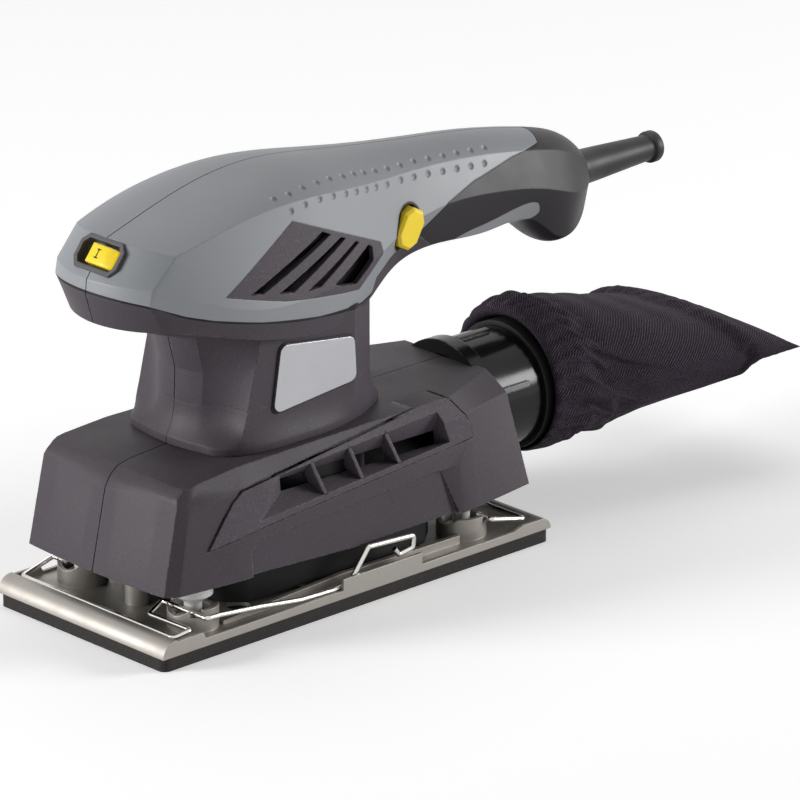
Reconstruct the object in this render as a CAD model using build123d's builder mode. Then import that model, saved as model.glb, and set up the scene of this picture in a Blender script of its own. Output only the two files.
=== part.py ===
from build123d import *
import math
import os

# Third-sheet orbital sander with a dust bag, in millimetres.
# Frame: nose towards -X, dust bag towards +X, left side towards -Y, +Z up.
# Origin: centre of the sole's bottom face.
# Left pieces are modelled and mirrored about the XZ plane for the right ones.

# ---------------------------------------------------------------- clearances
SEAM_GAP = 0.3            # open line between two moulded halves
FIT_GAP = 0.03            # bearing seats and pressed parts
RUN_GAP = 0.02            # shaft in its bearing, radial
LOOSE_GAP = 0.3           # parts laid in or on each other
SLIDE_GAP = 0.35          # sliding parts, each side

# ---------------------------------------------------------------- sole and plate
PAD_LENGTH = 190.0
PAD_WIDTH = 90.0
PAD_THICK = 5.0
PAD_CORNER = 3.0
PLATE_REACH = 0.5         # plate beyond the pad, ends
PLATE_SIDE = 0.2          # plate beyond the pad, sides
PLATE_FLOOR = 2.0
FRONT_ROLL = 6.0
REAR_ROLL = 4.6
ROLL_FLAT = 0.6
FRONT_ROLL_BACK = 1.0     # length of the slope behind the front roll
REAR_ROLL_BACK = 4.6
RIM_THICK = 1.3           # upright side rims of the plate
LIP_HEIGHT = 1.1          # low side lip above the floor
FRONT_CHEEK = 3.5         # corner cheeks above the floor
REAR_CHEEK = 2.5
CHEEK_LENGTH = 19.0
CHEEK_SLOPE = 2.5
TAB_HEIGHT = 5.4
TAB_LENGTH = 39.0
TAB_START = -9.0          # front end of the left-hand lever keeper
RIB_HEIGHT = 3.8
RIB_THICK = 2.0
RIB_INSET = 7.7           # rib's outer face in from the plate's side
DUST_HOLE_R = 4.5
DUST_HOLE_PITCH = 28.0
DUST_HOLES = 4
DUST_HOLE_Y = 27.0

# ---------------------------------------------------------------- motor line
ORBIT = 1.0               # eccentric offset: the sole runs in a 2 mm circle
MOTOR_X = -3.0
HUB_X = MOTOR_X + ORBIT

# ---------------------------------------------------------------- legs
LEG_DX = 66.0             # from the hub to each pair of legs
LEG_Y = 30.0
LEG_R = 7.35
LEG_TOP = 38.0
WAIST_R = 3.3
WAIST_TOP = 16.2
CUP_R = 9.35
CUP_WALL = 1.6
CUP_HEIGHT = 8.4
CUP_DIP = 2.4
CUP_DIP_R = 8.0
LEG_SCREW_R = 2.0
LEG_SCREW_PILOT = 1.7
LEG_SCREW_HEAD_R = 3.6
LEG_SCREW_HEAD = 1.6
LEG_SCREW_LENGTH = 20.0
CENTRE_BOSS_R = 4.6
CENTRE_BOSS_HEIGHT = 7.5
CENTRE_BOSS_DX = LEG_DX

# ---------------------------------------------------------------- paper clamps
WIRE_R = 1.0
PIVOT_OFFSET = 4.7        # clamp pivot outboard of the leg's centre
PIVOT_GAP = 0.1
LEVER_Y = 42.7
BAR_Z = 10.0
SLOT_WIDTH = 4.2
WIRE_BEND = 1.3
REAR_BAR_X = 85.4

# ---------------------------------------------------------------- bearing retainer
RETAINER_THICK = 1.5
RETAINER_SCREW_R = 1.25
RETAINER_SCREW_LENGTH = 6.0
RETAINER_SCREW_PITCH_R = 15.6

# ---------------------------------------------------------------- base shell
SHELL_WALL = 2.4
SHELL_BOTTOM = 21.0
SHELL_TOP = 64.0
# Plan outlines of the left half: nose centre, then corners from front to rear
FOOT_PLAN = [(-90.5, 0), (-88.7, 36.8), (-84, 40.2), (-57, 43), (60, 43), (88.8, 41.8)]
WAIST_PLAN = [(-82, 0), (-80.3, 36.2), (-76, 38.2), (-55, 39), (58, 38), (86, 31)]
ROOF_PLAN = [(-80, 0), (-78.5, 33), (-73, 35.5), (-50, 35.5), (56, 33), (84.5, 22)]
WAIST_Z = 57.0

# Edges in side view (x, z)
SHELL_HEM = [(-100, 24.6), (-90.5, 24.2), (-50, 23.6), (0, 21), (60, 21.6), (100, 23.6)]
SHELL_BROW = [(-82.3, 55.2), (-80.1, 58.7), (-76.4, 61.5), (-70.6, 62.6), (-59.7, 63.4), (-50, 64.1)]
LEVER_RECESS = [(-50, 15), (-50, 33), (-45, 36), (40, 39.5), (45, 39.5), (54, 15)]
LEVER_RECESS_DEPTH = 2.3
VENT_PANEL = [
    (-70, 37.5), (-62, 48), (-53, 56.4), (-43, 57.5), (-9, 60.5), (49, 65), (54, 63.5), (59.7, 55.2), (62, 47.6),
    (-41, 40.5),
]
VENT_WINDOWS = [
    [(-36, 43.5), (-18, 45), (-18, 56.6), (-30, 55.6)],
    [(-12, 45.3), (-0.5, 46.1), (-0.5, 58.2), (-12, 57.2)],
    [(6, 46.6), (16.6, 47.3), (16.6, 59.6), (6, 58.8)],
    [(25, 47.8), (46, 49.3), (41, 60.6), (25, 60)],
]
VENT_PANEL_SUNK = 1.2
PANEL_INNER_Y = 24.0      # the panel is cut outside this line only
VENT_PANEL_PROUD = 0.7
COLUMN_R = 9.3
COLUMN_LOW = 28.0
SOCKET_GAP = 0.2
SHELL_SCREWS = [(-50, 55), (66, 56), (-82, 31), (75.5, 30)]
BOSS_R = 3.6
SCREW_R = 1.5
SCREW_REACH = 14.0        # thread length in the left half
SCREW_SEAT_Y = 14.0       # head seats in the right half
BRIDGE_SCREW_PITCH_R = 22.5
SIDE_REACH = 60.0         # tools that cross one half
ROOF_HOLE_R = 19.0

# ---------------------------------------------------------------- neck
NECK_WALL = 2.5
SKIRT_LOW = SHELL_TOP + 0.1
SKIRT_EDGE = 67.9
SKIRT_HIGH = 76.0
SKIRT_SHRINK = 3.0
NECK_CENTRE = (-7, 0)
PAD_END = 15.0            # flat side pad ends this far before the rear corner
SKIRT_PLAN = [(-53.5, 0), (-51.3, 17.4), (-43, 28.7), (-17.8, 32), (10, 29), (34, 17.4), (40, 0)]
# Column sections: height, nose, front corner, scallop middle, crease, rear corner, rear
COLUMN_SECTIONS = [
    (70, -49.8, (-47.4, 12), (-43.2, 21), (-42.6, 29), (27, 20.5), 36),
    (92, -48.9, (-46.4, 12), (-40.6, 20), (-37.2, 29), (27, 20.5), 35),
    (108, -53, (-50.5, 12.5), (-40, 21), (-33.2, 29), (27, 20.5), 35),
]
BADGE = [(-24.5, 101.7), (10.8, 96.8), (11.8, 80.2), (-28.6, 76.5)]
BADGE_THICK = 1.0
BADGE_CORNER = 3.0

# ---------------------------------------------------------------- housing and handle
HOUSING_WALL = 2.4
HOUSING_END = 149.0
# Half-sections: x, top, crease (y, z), widest (y, z), lower edge (y, z), bottom
HOUSING_SECTIONS = [
    (-95, 143, (20, 137.5), (22, 134), (22, 119), 117),
    (-80, 147.6, (24.5, 142.5), (26.4, 133), (25.5, 118.5), 115.5),
    (-67, 151.8, (27.2, 146), (30.6, 128.7), (29, 115.8), 110.5),
    (-40, 159.3, (28.8, 152), (36, 120.3), (33.5, 108.5), 104),
    (-12, 161.9, (28.6, 153.3), (35, 119), (31.5, 103), 101),
    (20, 158.4, (23, 149.6), (29, 122), (24.5, 104), 101),
    (45, 155, (17.5, 147), (21.5, 128), (15, 112), 107.5),
    (70, 152.2, (14.5, 145.5), (18.5, 131), (12.5, 114.5), 111),
    (95, 149.2, (13.5, 143), (18, 129.5), (12, 113), 110),
    (119, 144.8, (13, 139), (17.5, 125), (12.5, 111.2), 107.3),
    (130, 142.2, (13, 136.5), (17.5, 121.5), (12.5, 103), 98.8),
    (139, 139.2, (11.5, 133), (15.5, 119), (11, 102), 98),
    (145.5, 135, (9.5, 129.8), (12.4, 119), (9.3, 106), 102),
    (149, 131, (8.4, 127), (10, 120.5), (8, 113.4), 110),
]
# Nose plan outlines: height, nose, corner (x, y)
NOSE_PLANS = [
    (90, -78, (-62, 24)), (118, -86.8, (-77, 25.2)), (129, -90.2, (-82.4, 25.5)), (134.5, -89.6, (-81.3, 25.6)),
    (147.5, -79.8, (-68.4, 26.9)), (172, -66.4, (-44, 24)),
]
# Parting lines in side view (x, z)
DARK_EDGE = [
    (-100, 131), (-90.1, 130.5), (-82.9, 129), (-69, 123), (-58, 119.6), (-38, 115), (-8, 109.5), (17.6, 106.9),
    (26, 108), (27.5, 113.7), (37, 118), (45.6, 120), (56, 121.2), (70, 111), (72, 90),
]
GRIP_EDGE = [
    (55, 122.6), (68, 131.5), (82.5, 136), (104.7, 139.8), (121, 141), (126, 146), (170, 140), (170, 85), (72, 85),
    (70, 111), (56, 121.2),
]
HOUSING_HALF_WIDTH = max(section[3][0] for section in HOUSING_SECTIONS)
UPPER_VENT = [(-54, 127.4), (-19.4, 147.3), (27.6, 127.6), (28.5, 122.6), (14, 113.4), (-27.8, 120.6)]
VENT_SLOTS = [
    [(-43.2, 126.1), (-5, 140.1), (-0.6, 137.9), (-37.4, 125.3)],
    [(-30.4, 123.8), (4.7, 135.6), (7.4, 134.4), (-23.2, 122.6)],
    [(-16.6, 121.3), (12.7, 132), (14.8, 131.1), (-9.4, 121.2)],
    [(-1.8, 120.1), (20, 128.8), (22.1, 127.4), (21.7, 122.8), (11.6, 116.4), (2, 118.4)],
]
BUTTON_X = 45.4
BUTTON_Z = 127.7
BUTTON_TILT = 61.0        # long axis of the button above the X axis, degrees
BUTTON_OUTLINE = [(7.6, -2.6), (7.6, 2.6), (4, 5.5), (-4, 5.5), (-7.6, 2.6), (-7.6, -2.6), (-4, -5.5), (4, -5.5)]
BUTTON_TRAVEL = 2.5
BUTTON_CUP_SIZE = (18.5, 13.0)
BUTTON_CUP_WALL = 0.8
BUTTON_CUP_IN = 11.0      # cup floor, from the seam plane
BUTTON_FACE = 23.6        # button's outer face at rest
# Recess outline in the switch's own frame (towards the left side, up the slope)
SWITCH_OUTLINE = [(11.4, -3), (11.4, 3.4), (8.4, 6.6), (-8.4, 6.6), (-11.4, 3.4), (-11.4, -3), (-9, -6.4), (9, -6.4)]
SWITCH_BODY = (18.0, 10.0, 14.0)
SWITCH_DEPTH = 6.0
SWITCH_FRAME = 1.6
SWITCH_SUNK = 3.6
SLIDER_SIZE = (8.0, 7.0)
SLIDER_REST = 4.6         # slider's centre towards the left side
SLIDER_STEM = 3.0
SWITCH_TRAVEL = 5.0
HOUSING_SCREWS = [(-60, 131), (36, 137), (64, 143)]
HOUSING_SEAT_Y = 9.0
BEARING_CAP_R = 14.0
BEARING_RIB = [(-40, 116), (-26, 116), (-26, 122), (-14.3, 133), (-14.3, 144), (-40, 144)]
SLEEVE_Z = 121.5
SLEEVE_END = 195.0
SLEEVE_LENGTH = SLEEVE_END - HOUSING_END + 2 * HOUSING_WALL
CABLE_R = 3.3

# ---------------------------------------------------------------- motor
STATOR_R = 26.2
STATOR_BORE = 16.0
STATOR_LOW = 80.0
STATOR_HIGH = 108.0
CORE_R = 15.5
SHAFT_R = 6.0
COMMUTATOR_SHAFT_R = 5.0
TAIL_SHAFT_R = 4.0
SHAFT_LOW = 25.5
SHAFT_STEP = 115.5
SHAFT_TAIL = 133.0
SHAFT_HIGH = 143.5
COMMUTATOR_R = 11.0
COMMUTATOR_LOW = 118.0
COMMUTATOR_HIGH = 131.0
WINDING_LOW = 77.4
WINDING_HIGH = 114.0
ROTOR_SLOTS = 12
FAN_LOW = 36.5
FAN_HIGH = 50.0
FAN_R = 30.0
FAN_HUB_R = 10.0
FAN_BLADES = 11
FAN_EYE_R = 21.0
BAFFLE_Z = 54.0
WEIGHT_LOW = 23.3
WEIGHT_HIGH = 36.0
WEIGHT_HUB_R = 11.0
WEIGHT_R = 24.0
WEIGHT_THICK = 8.0
BRIDGE_R = 26.0
BRIDGE_THICK = 2.2
CAPACITOR_X = 88.0
CAPACITOR_Z = 114.4
SLEEVE_NECK_R = 6.6
BUTTON_CUP_LENGTH = 14.0
BUTTON_THICK = 7.0
SPRING_R = 3.6
SPRING_WIRE_R = 0.35
SPRING_TURNS = 4

# Ball bearings: bore radius, outer radius, width
LOWER_BEARING = (6.0, 16.0, 10.0)
UPPER_BEARING = (4.0, 11.0, 7.0)
PLATE_BEARING = (5.0, 13.0, 8.0)
LOWER_BEARING_Z = 66.4
UPPER_BEARING_Z = 136.0

# ---------------------------------------------------------------- dust path
TUBE_Z = 45.0
TUBE_R = 23.0
TUBE_WALL = 1.7
SPIGOT_WALL = 1.6
OUTLET_R = 25.0
OUTLET_FRONT = 82.5
TUBE_FRONT = 89.0
TUBE_BACK = 121.0
COLLAR_R = 24.8
COLLAR_FRONT = 113.0
BAG_MOUTH = 115.0
BAG_AXIS_Z = 46.0
BAG_END = 224.0
BAG_WALL = 1.6
# Bag cross-sections: x, half-width, rise above and sag below the axis
BAG_SECTIONS = [
    (115, 28.8, 31.6, 27.8), (121, 30.3, 32.4, 28), (128, 32, 32, 27.2), (142, 36, 30, 22.8), (160, 40.5, 25.6, 15.8),
    (180, 44.5, 20, 12.8), (200, 47.5, 14.5, 9.4), (215, 49, 8, 5.2), (224, 49.5, 3.8, 2.6),
]
KEY_BAR_ANGLE = -20.0

# ---------------------------------------------------------------- derived
half_length = PAD_LENGTH / 2 + PLATE_REACH
half_width = PAD_WIDTH / 2 + PLATE_SIDE
floor_z = PAD_THICK + PLATE_FLOOR
cup_top = floor_z + CUP_HEIGHT
pivot_z = cup_top - CUP_DIP + WIRE_R + PIVOT_GAP
front_pivot_x = HUB_X - LEG_DX - PIVOT_OFFSET
dust_holes_x = [HUB_X + (i - (DUST_HOLES - 1) / 2) * DUST_HOLE_PITCH for i in range(DUST_HOLES)]

os.makedirs("parts", exist_ok=True)


def keep(piece, name):
    """Labels a finished piece and writes its STEP file."""
    piece.part.label = name
    export_step(piece.part, f"parts/{name}.step")


def mirrored(piece):
    """The right-hand twin of a left-hand piece."""
    with BuildPart() as twin:
        mirror(piece.part, about=Plane.XZ)
    return twin


def keep_pair(left_piece, name):
    """Writes a left-hand piece and its right-hand twin."""
    keep(left_piece, f"{name}_left")
    keep(mirrored(left_piece), f"{name}_right")


def ring(inner, outer, low, high, x=0.0, y=0.0):
    """A plain ring about an upright axis."""
    with BuildPart() as made:
        with BuildSketch(Plane.XY.offset(low)):
            with Locations((x, y)):
                Circle(outer)
                Circle(inner, mode=Mode.SUBTRACT)
        extrude(amount=high - low)
    return made


def ball_bearing(size, low, x, shield=0.4):
    """A shielded ball bearing: two races with a sunk shield on each side."""
    bore, outer, width = size
    race = (outer - bore) * 0.25
    with BuildPart() as made:
        with BuildSketch(Plane.XY.offset(low)):
            with Locations((x, 0)):
                Circle(outer)
                Circle(bore, mode=Mode.SUBTRACT)
        extrude(amount=width)
        for z, depth in ((low, shield), (low + width, -shield)):
            with BuildSketch(Plane.XY.offset(z)):
                with Locations((x, 0)):
                    Circle(outer - race)
                    Circle(bore + race, mode=Mode.SUBTRACT)
            extrude(amount=depth, mode=Mode.SUBTRACT)
    return made


# ================================================================ sole
with BuildPart() as foam_pad:
    with BuildSketch():
        RectangleRounded(PAD_LENGTH, PAD_WIDTH, PAD_CORNER)
        for x in dust_holes_x:
            with Locations((x, DUST_HOLE_Y), (x, -DUST_HOLE_Y)):
                Circle(DUST_HOLE_R, mode=Mode.SUBTRACT)
    extrude(amount=PAD_THICK)
keep(foam_pad, "foam_pad")

# ================================================================ base plate
cheek_profile = [
    (-half_length + FRONT_ROLL, PAD_THICK),
    (-half_length + FRONT_ROLL, floor_z + FRONT_CHEEK),
    (-half_length + CHEEK_LENGTH, floor_z + FRONT_CHEEK),
    (-half_length + CHEEK_LENGTH + CHEEK_SLOPE / 2, floor_z + LIP_HEIGHT),
    (half_length - CHEEK_LENGTH, floor_z + LIP_HEIGHT),
    (half_length - CHEEK_LENGTH + 2 * CHEEK_SLOPE, floor_z + REAR_CHEEK),
    (half_length - REAR_ROLL, floor_z + REAR_CHEEK),
    (half_length - REAR_ROLL, PAD_THICK),
]
rib_profile = [
    (HUB_X - LEG_DX + CUP_R - CUP_WALL, PAD_THICK),
    (HUB_X - LEG_DX + CUP_R - CUP_WALL, floor_z + RIB_HEIGHT / 3),
    (HUB_X, floor_z + RIB_HEIGHT),
    (HUB_X + LEG_DX - CUP_R + CUP_WALL, floor_z + RIB_HEIGHT * 0.8),
    (HUB_X + LEG_DX - CUP_R + CUP_WALL, PAD_THICK),
]
hub_top = floor_z + 13.2
hub_r = PLATE_BEARING[1] + 5.0
seat_low = hub_top - PLATE_BEARING[2] - 0.1
leg_centres = [(HUB_X + sx * LEG_DX, sy * LEG_Y) for sx in (-1, 1) for sy in (-1, 1)]
# Walls of the cups that the clamp wires cross: the lever's cup is open both ways.
notch_y = {(-1, -1): (-1, 1), (-1, 1): (1,), (1, 1): (-1, 1), (1, -1): (-1,)}

with BuildPart() as base_plate:
    with BuildSketch(Plane.XZ):
        with BuildLine():
            front = half_length - FRONT_ROLL
            rear = half_length - REAR_ROLL
            top_f = PAD_THICK + FRONT_ROLL
            top_r = PAD_THICK + REAR_ROLL
            s = math.sqrt(0.5)
            ThreePointArc(
                (-half_length, PAD_THICK),
                (-front - FRONT_ROLL * s, PAD_THICK + FRONT_ROLL * s),
                (-front, top_f),
            )
            Polyline(
                (-front, top_f),
                (-front + ROLL_FLAT, top_f),
                (-front + ROLL_FLAT + FRONT_ROLL_BACK, floor_z),
                (rear - ROLL_FLAT - REAR_ROLL_BACK, floor_z),
                (rear - ROLL_FLAT, top_r),
                (rear, top_r),
            )
            ThreePointArc(
                (rear, top_r),
                (rear + REAR_ROLL * s, PAD_THICK + REAR_ROLL * s),
                (half_length, PAD_THICK),
            )
            Line((half_length, PAD_THICK), (-half_length, PAD_THICK))
        make_face()
    extrude(amount=half_width, both=True)
    # Side rims: corner cheeks, low lip and the lever keeper
    for side in (-1, 1):
        with BuildSketch(Plane.XZ.offset(-side * half_width)):
            Polygon(*cheek_profile, align=None)
            start = TAB_START if side < 0 else 2 * HUB_X - TAB_START - TAB_LENGTH
            with Locations((start + TAB_LENGTH / 2, floor_z + TAB_HEIGHT / 2)):
                Rectangle(TAB_LENGTH, TAB_HEIGHT)
        extrude(amount=side * RIM_THICK)
        with BuildSketch(Plane.XZ.offset(-side * (half_width - RIB_INSET))):
            Polygon(*rib_profile, align=None)
        extrude(amount=side * RIB_THICK)
    # Leg cups with a dipped rim
    with BuildSketch(Plane.XY.offset(PAD_THICK)):
        with Locations(*leg_centres):
            Circle(CUP_R)
    extrude(amount=cup_top - PAD_THICK)
    with BuildSketch(Plane.XY.offset(floor_z)):
        with Locations(*leg_centres):
            Circle(CUP_R - CUP_WALL)
    extrude(amount=CUP_HEIGHT, mode=Mode.SUBTRACT)
    for x, y in leg_centres:
        with BuildSketch(Plane.YZ.offset(x)):
            with Locations((y, cup_top + CUP_DIP_R - CUP_DIP)):
                Circle(CUP_DIP_R)
        extrude(amount=CUP_R + 1, both=True, mode=Mode.SUBTRACT)
    for (sx, sy), walls in notch_y.items():
        for wall in walls:
            near = LEG_Y * sy + wall * CUP_R / 2
            with BuildSketch(Plane.XY.offset(cup_top - CUP_DIP)):
                with Locations((HUB_X + sx * (LEG_DX + PIVOT_OFFSET), near)):
                    Rectangle(SLOT_WIDTH, CUP_R)
            extrude(amount=CUP_HEIGHT, mode=Mode.SUBTRACT)
    # Bearing hub and the small bosses on the centre line
    with BuildSketch(Plane.XY.offset(PAD_THICK)):
        with Locations((HUB_X, 0)):
            Circle(hub_r)
    extrude(amount=hub_top - PAD_THICK)
    with BuildSketch(Plane.XY.offset(PAD_THICK)):
        with Locations((HUB_X - CENTRE_BOSS_DX, 0), (HUB_X + CENTRE_BOSS_DX, 0)):
            Circle(CENTRE_BOSS_R)
    extrude(amount=PLATE_FLOOR + CENTRE_BOSS_HEIGHT)
    with BuildSketch(Plane.XY.offset(seat_low)):
        with Locations((HUB_X, 0)):
            Circle(PLATE_BEARING[1] + FIT_GAP)
    extrude(amount=hub_top, mode=Mode.SUBTRACT)
    with BuildSketch(Plane.XY.offset(hub_top)):
        with Locations((HUB_X, 0)):
            with PolarLocations(RETAINER_SCREW_PITCH_R, 3):
                Circle(RETAINER_SCREW_R + FIT_GAP)
    extrude(amount=-RETAINER_SCREW_LENGTH, mode=Mode.SUBTRACT)
    # Dust holes and leg screw holes
    with BuildSketch(Plane.XY.offset(PAD_THICK)):
        for x in dust_holes_x:
            with Locations((x, DUST_HOLE_Y), (x, -DUST_HOLE_Y)):
                Circle(DUST_HOLE_R)
    extrude(amount=PLATE_FLOOR, mode=Mode.SUBTRACT)
    for x, y in leg_centres:
        with Locations(Plane.XY.offset(PAD_THICK).location * Location((x, y, 0), (180, 0, 0))):
            CounterSinkHole(
                radius=LEG_SCREW_R + 0.2,
                counter_sink_radius=LEG_SCREW_HEAD_R + 0.2,
                depth=PLATE_FLOOR + 1,
            )
keep(base_plate, "base_plate")

# ================================================================ legs
with BuildPart() as leg_posts:
    for x, y in leg_centres:
        with BuildSketch(Plane.XZ.offset(-y)):
            with Locations((x, 0)):
                Polygon(
                    (0, floor_z + LOOSE_GAP), (LEG_R - 1, floor_z + LOOSE_GAP), (LEG_R - 1, floor_z + 3),
                    (WAIST_R, floor_z + 4), (WAIST_R, WAIST_TOP), (LEG_R, WAIST_TOP + 3),
                    (LEG_R, LEG_TOP), (0, LEG_TOP), align=None,
                )
        revolve(axis=Axis((x, y, 0), (0, 0, 1)))
        with Locations((x, y, floor_z)):
            Cylinder(LEG_SCREW_R + FIT_GAP, LEG_SCREW_LENGTH, align=(Align.CENTER, Align.CENTER, Align.MIN),
                     mode=Mode.SUBTRACT)
keep(leg_posts, "leg_posts")

with BuildPart() as leg_screws:
    for x, y in leg_centres:
        with BuildSketch(Plane.XZ.offset(-y)):
            with Locations((x, PAD_THICK)):
                Polygon(
                    (0, LOOSE_GAP / 2), (LEG_SCREW_HEAD_R, LOOSE_GAP / 2), (LEG_SCREW_R, LEG_SCREW_HEAD + LOOSE_GAP),
                    (LEG_SCREW_R, LEG_SCREW_LENGTH), (0, LEG_SCREW_LENGTH), align=None,
                )
        revolve(axis=Axis((x, y, 0), (0, 0, 1)))
keep(leg_screws, "leg_screws")

# ================================================================ plate bearing
with BuildPart() as bearing_retainer:
    with BuildSketch(Plane.XY.offset(hub_top)):
        with Locations((HUB_X, 0)):
            Circle(hub_r)
            Circle(PLATE_BEARING[1] - 1.5, mode=Mode.SUBTRACT)
            with PolarLocations(RETAINER_SCREW_PITCH_R, 3):
                Circle(RETAINER_SCREW_R + FIT_GAP, mode=Mode.SUBTRACT)
    extrude(amount=RETAINER_THICK)
keep(bearing_retainer, "bearing_retainer")
keep(ball_bearing(PLATE_BEARING, seat_low + 0.05, HUB_X), "plate_bearing")

with BuildPart() as retainer_screws:
    with Locations((HUB_X, 0, hub_top + RETAINER_THICK)):
        with PolarLocations(RETAINER_SCREW_PITCH_R, 3):
            Cylinder(2 * RETAINER_SCREW_R, 1.2, align=(Align.CENTER, Align.CENTER, Align.MIN))
            Cylinder(RETAINER_SCREW_R, RETAINER_SCREW_LENGTH, align=(Align.CENTER, Align.CENTER, Align.MAX))
keep(retainer_screws, "retainer_screws")

# ================================================================ clamp wires
lever_path = [
    (18.5, 16.4), (20.5, 13.6), (27.5, 14.6), (28, 19.2), (5.5, 20.6), (-3.5, 9.4), (-12, 8.4),
    (-28, 9.0), (-47, 11.7), (-66, 13.8),
]


def clamp_wire(bar_x, bar_z, turn):
    """One bent clamp wire: lever, pivot through the cup, return leg, bar and far arm."""
    points = [(x, -LEVER_Y, z) for x, z in lever_path]
    points += [
        (front_pivot_x, -LEVER_Y, pivot_z),
        (front_pivot_x, 11 - LEG_Y, pivot_z),
        (front_pivot_x - 6.5, 11 - LEG_Y, pivot_z - 3.4),
        (front_pivot_x - 6.5, -LEVER_Y + 1.4, pivot_z - 3),
        (bar_x, -LEVER_Y + 1.4, bar_z),
        (bar_x, LEVER_Y - 1.6, bar_z),
        (front_pivot_x, LEVER_Y - 1.6, pivot_z),
        (front_pivot_x, LEG_Y + 4, pivot_z),
    ]
    with BuildPart() as wire:
        with BuildLine() as path:
            FilletPolyline(*points, radius=WIRE_BEND)
        with BuildSketch(Plane(path.wire() @ 0, z_dir=path.wire() % 0)):
            Circle(WIRE_R)
        sweep()
    with BuildPart() as placed:
        add(wire.part.rotate(Axis((HUB_X, 0, 0), (0, 0, 1)), turn))
    return placed


front_clamp_wire = clamp_wire(-half_length + 8.1, 10.2, 0)
rear_clamp_wire = clamp_wire(2 * HUB_X - REAR_BAR_X, BAR_Z, 180)
keep(front_clamp_wire, "front_clamp_wire")
keep(rear_clamp_wire, "rear_clamp_wire")


# ================================================================ base shell
def side_prism(points, inner=SEAM_GAP, outer=2 * SIDE_REACH):
    """A side-view outline carried across the left half, from y = -inner outwards."""
    with BuildPart() as prism:
        with BuildSketch(Plane.XZ.offset(inner)):
            Polygon(*points, align=None)
        extrude(amount=outer)
    return prism.part


def shell_form(inset):
    """The base shell's three-level form, drawn in by the inset."""
    levels = ((SHELL_BOTTOM - 2, FOOT_PLAN), (WAIST_Z, WAIST_PLAN), (SHELL_TOP - max(inset, 0), ROOF_PLAN))
    with BuildPart() as form:
        for z, plan in levels:
            nose, *corners = plan
            left = [(x, -y) for x, y in corners]
            with BuildSketch(Plane.XY.offset(z)):
                with BuildLine():
                    ThreePointArc(left[0], nose, corners[0])
                    Polyline(*corners, *reversed(left))
                make_face()
                if inset:
                    offset(amount=-inset, kind=Kind.INTERSECTION, mode=Mode.REPLACE)
        loft(ruled=True)
        brow = [(x + inset, z - inset * 0.9) for x, z in SHELL_BROW]
        with BuildSketch(Plane.XZ):
            Polygon((-2 * SIDE_REACH, brow[0][1]), *brow, (brow[-1][0], 90), (-2 * SIDE_REACH, 90), align=None)
        extrude(amount=SIDE_REACH, both=True, mode=Mode.SUBTRACT)
    return form.part


recess_backing = [(-54, 10), (-54, 36), (-46, 40), (42, 43.5), (49, 43.5), (60, 10)]

with BuildPart() as shell_cavity:
    add(shell_form(SHELL_WALL))
    add(side_prism(recess_backing) - shell_form(SHELL_WALL + LEVER_RECESS_DEPTH), mode=Mode.SUBTRACT)
    add(side_prism(VENT_PANEL, inner=PANEL_INNER_Y) - shell_form(SHELL_WALL + VENT_PANEL_SUNK), mode=Mode.SUBTRACT)
    with Locations((HUB_X - LEG_DX, -LEG_Y, COLUMN_LOW), (HUB_X + LEG_DX, -LEG_Y, COLUMN_LOW)):
        Cylinder(COLUMN_R, SHELL_TOP, align=(Align.CENTER, Align.CENTER, Align.MIN), mode=Mode.SUBTRACT)
    with BuildSketch(Plane.XZ):
        with Locations(*SHELL_SCREWS):
            Circle(BOSS_R)
    extrude(amount=SIDE_REACH, mode=Mode.SUBTRACT)

with BuildPart() as base_shell:
    add(shell_form(0))
    add(shell_cavity.part, mode=Mode.SUBTRACT)
    with BuildSketch(Plane.XZ):
        Polygon(*SHELL_HEM, (100, 0), (-100, 0), align=None)
    extrude(amount=SIDE_REACH, both=True, mode=Mode.SUBTRACT)
    add(side_prism(LEVER_RECESS) - shell_form(LEVER_RECESS_DEPTH), mode=Mode.SUBTRACT)
    add(side_prism(VENT_PANEL, inner=PANEL_INNER_Y) - shell_form(VENT_PANEL_SUNK), mode=Mode.SUBTRACT)
    for window in VENT_WINDOWS:
        add(side_prism(window, inner=LEG_Y), mode=Mode.SUBTRACT)
    with Locations((HUB_X - LEG_DX, -LEG_Y, 0), (HUB_X + LEG_DX, -LEG_Y, 0)):
        Cylinder(LEG_R + SOCKET_GAP, LEG_TOP + LOOSE_GAP, align=(Align.CENTER, Align.CENTER, Align.MIN),
                 mode=Mode.SUBTRACT)
    with Locations((MOTOR_X, 0, SHELL_TOP)):
        Cylinder(ROOF_HOLE_R, 4 * SHELL_WALL, mode=Mode.SUBTRACT)
        with PolarLocations(BRIDGE_SCREW_PITCH_R, 4, start_angle=45):
            Cylinder(SCREW_R, 4 * SHELL_WALL, mode=Mode.SUBTRACT)
    with Locations(Location((OUTLET_FRONT - FIT_GAP, 0, TUBE_Z), (0, 90, 0))):
        Cylinder(OUTLET_R + FIT_GAP, 20, align=(Align.CENTER, Align.CENTER, Align.MIN), mode=Mode.SUBTRACT)
    with BuildSketch(Plane.XZ):
        with Locations(*SHELL_SCREWS):
            Circle(SCREW_R + FIT_GAP)
    extrude(amount=SCREW_REACH, mode=Mode.SUBTRACT)
    split(bisect_by=Plane.XZ.offset(SEAM_GAP / 2), keep=Keep.TOP)
keep(base_shell, "base_shell_left")

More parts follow.
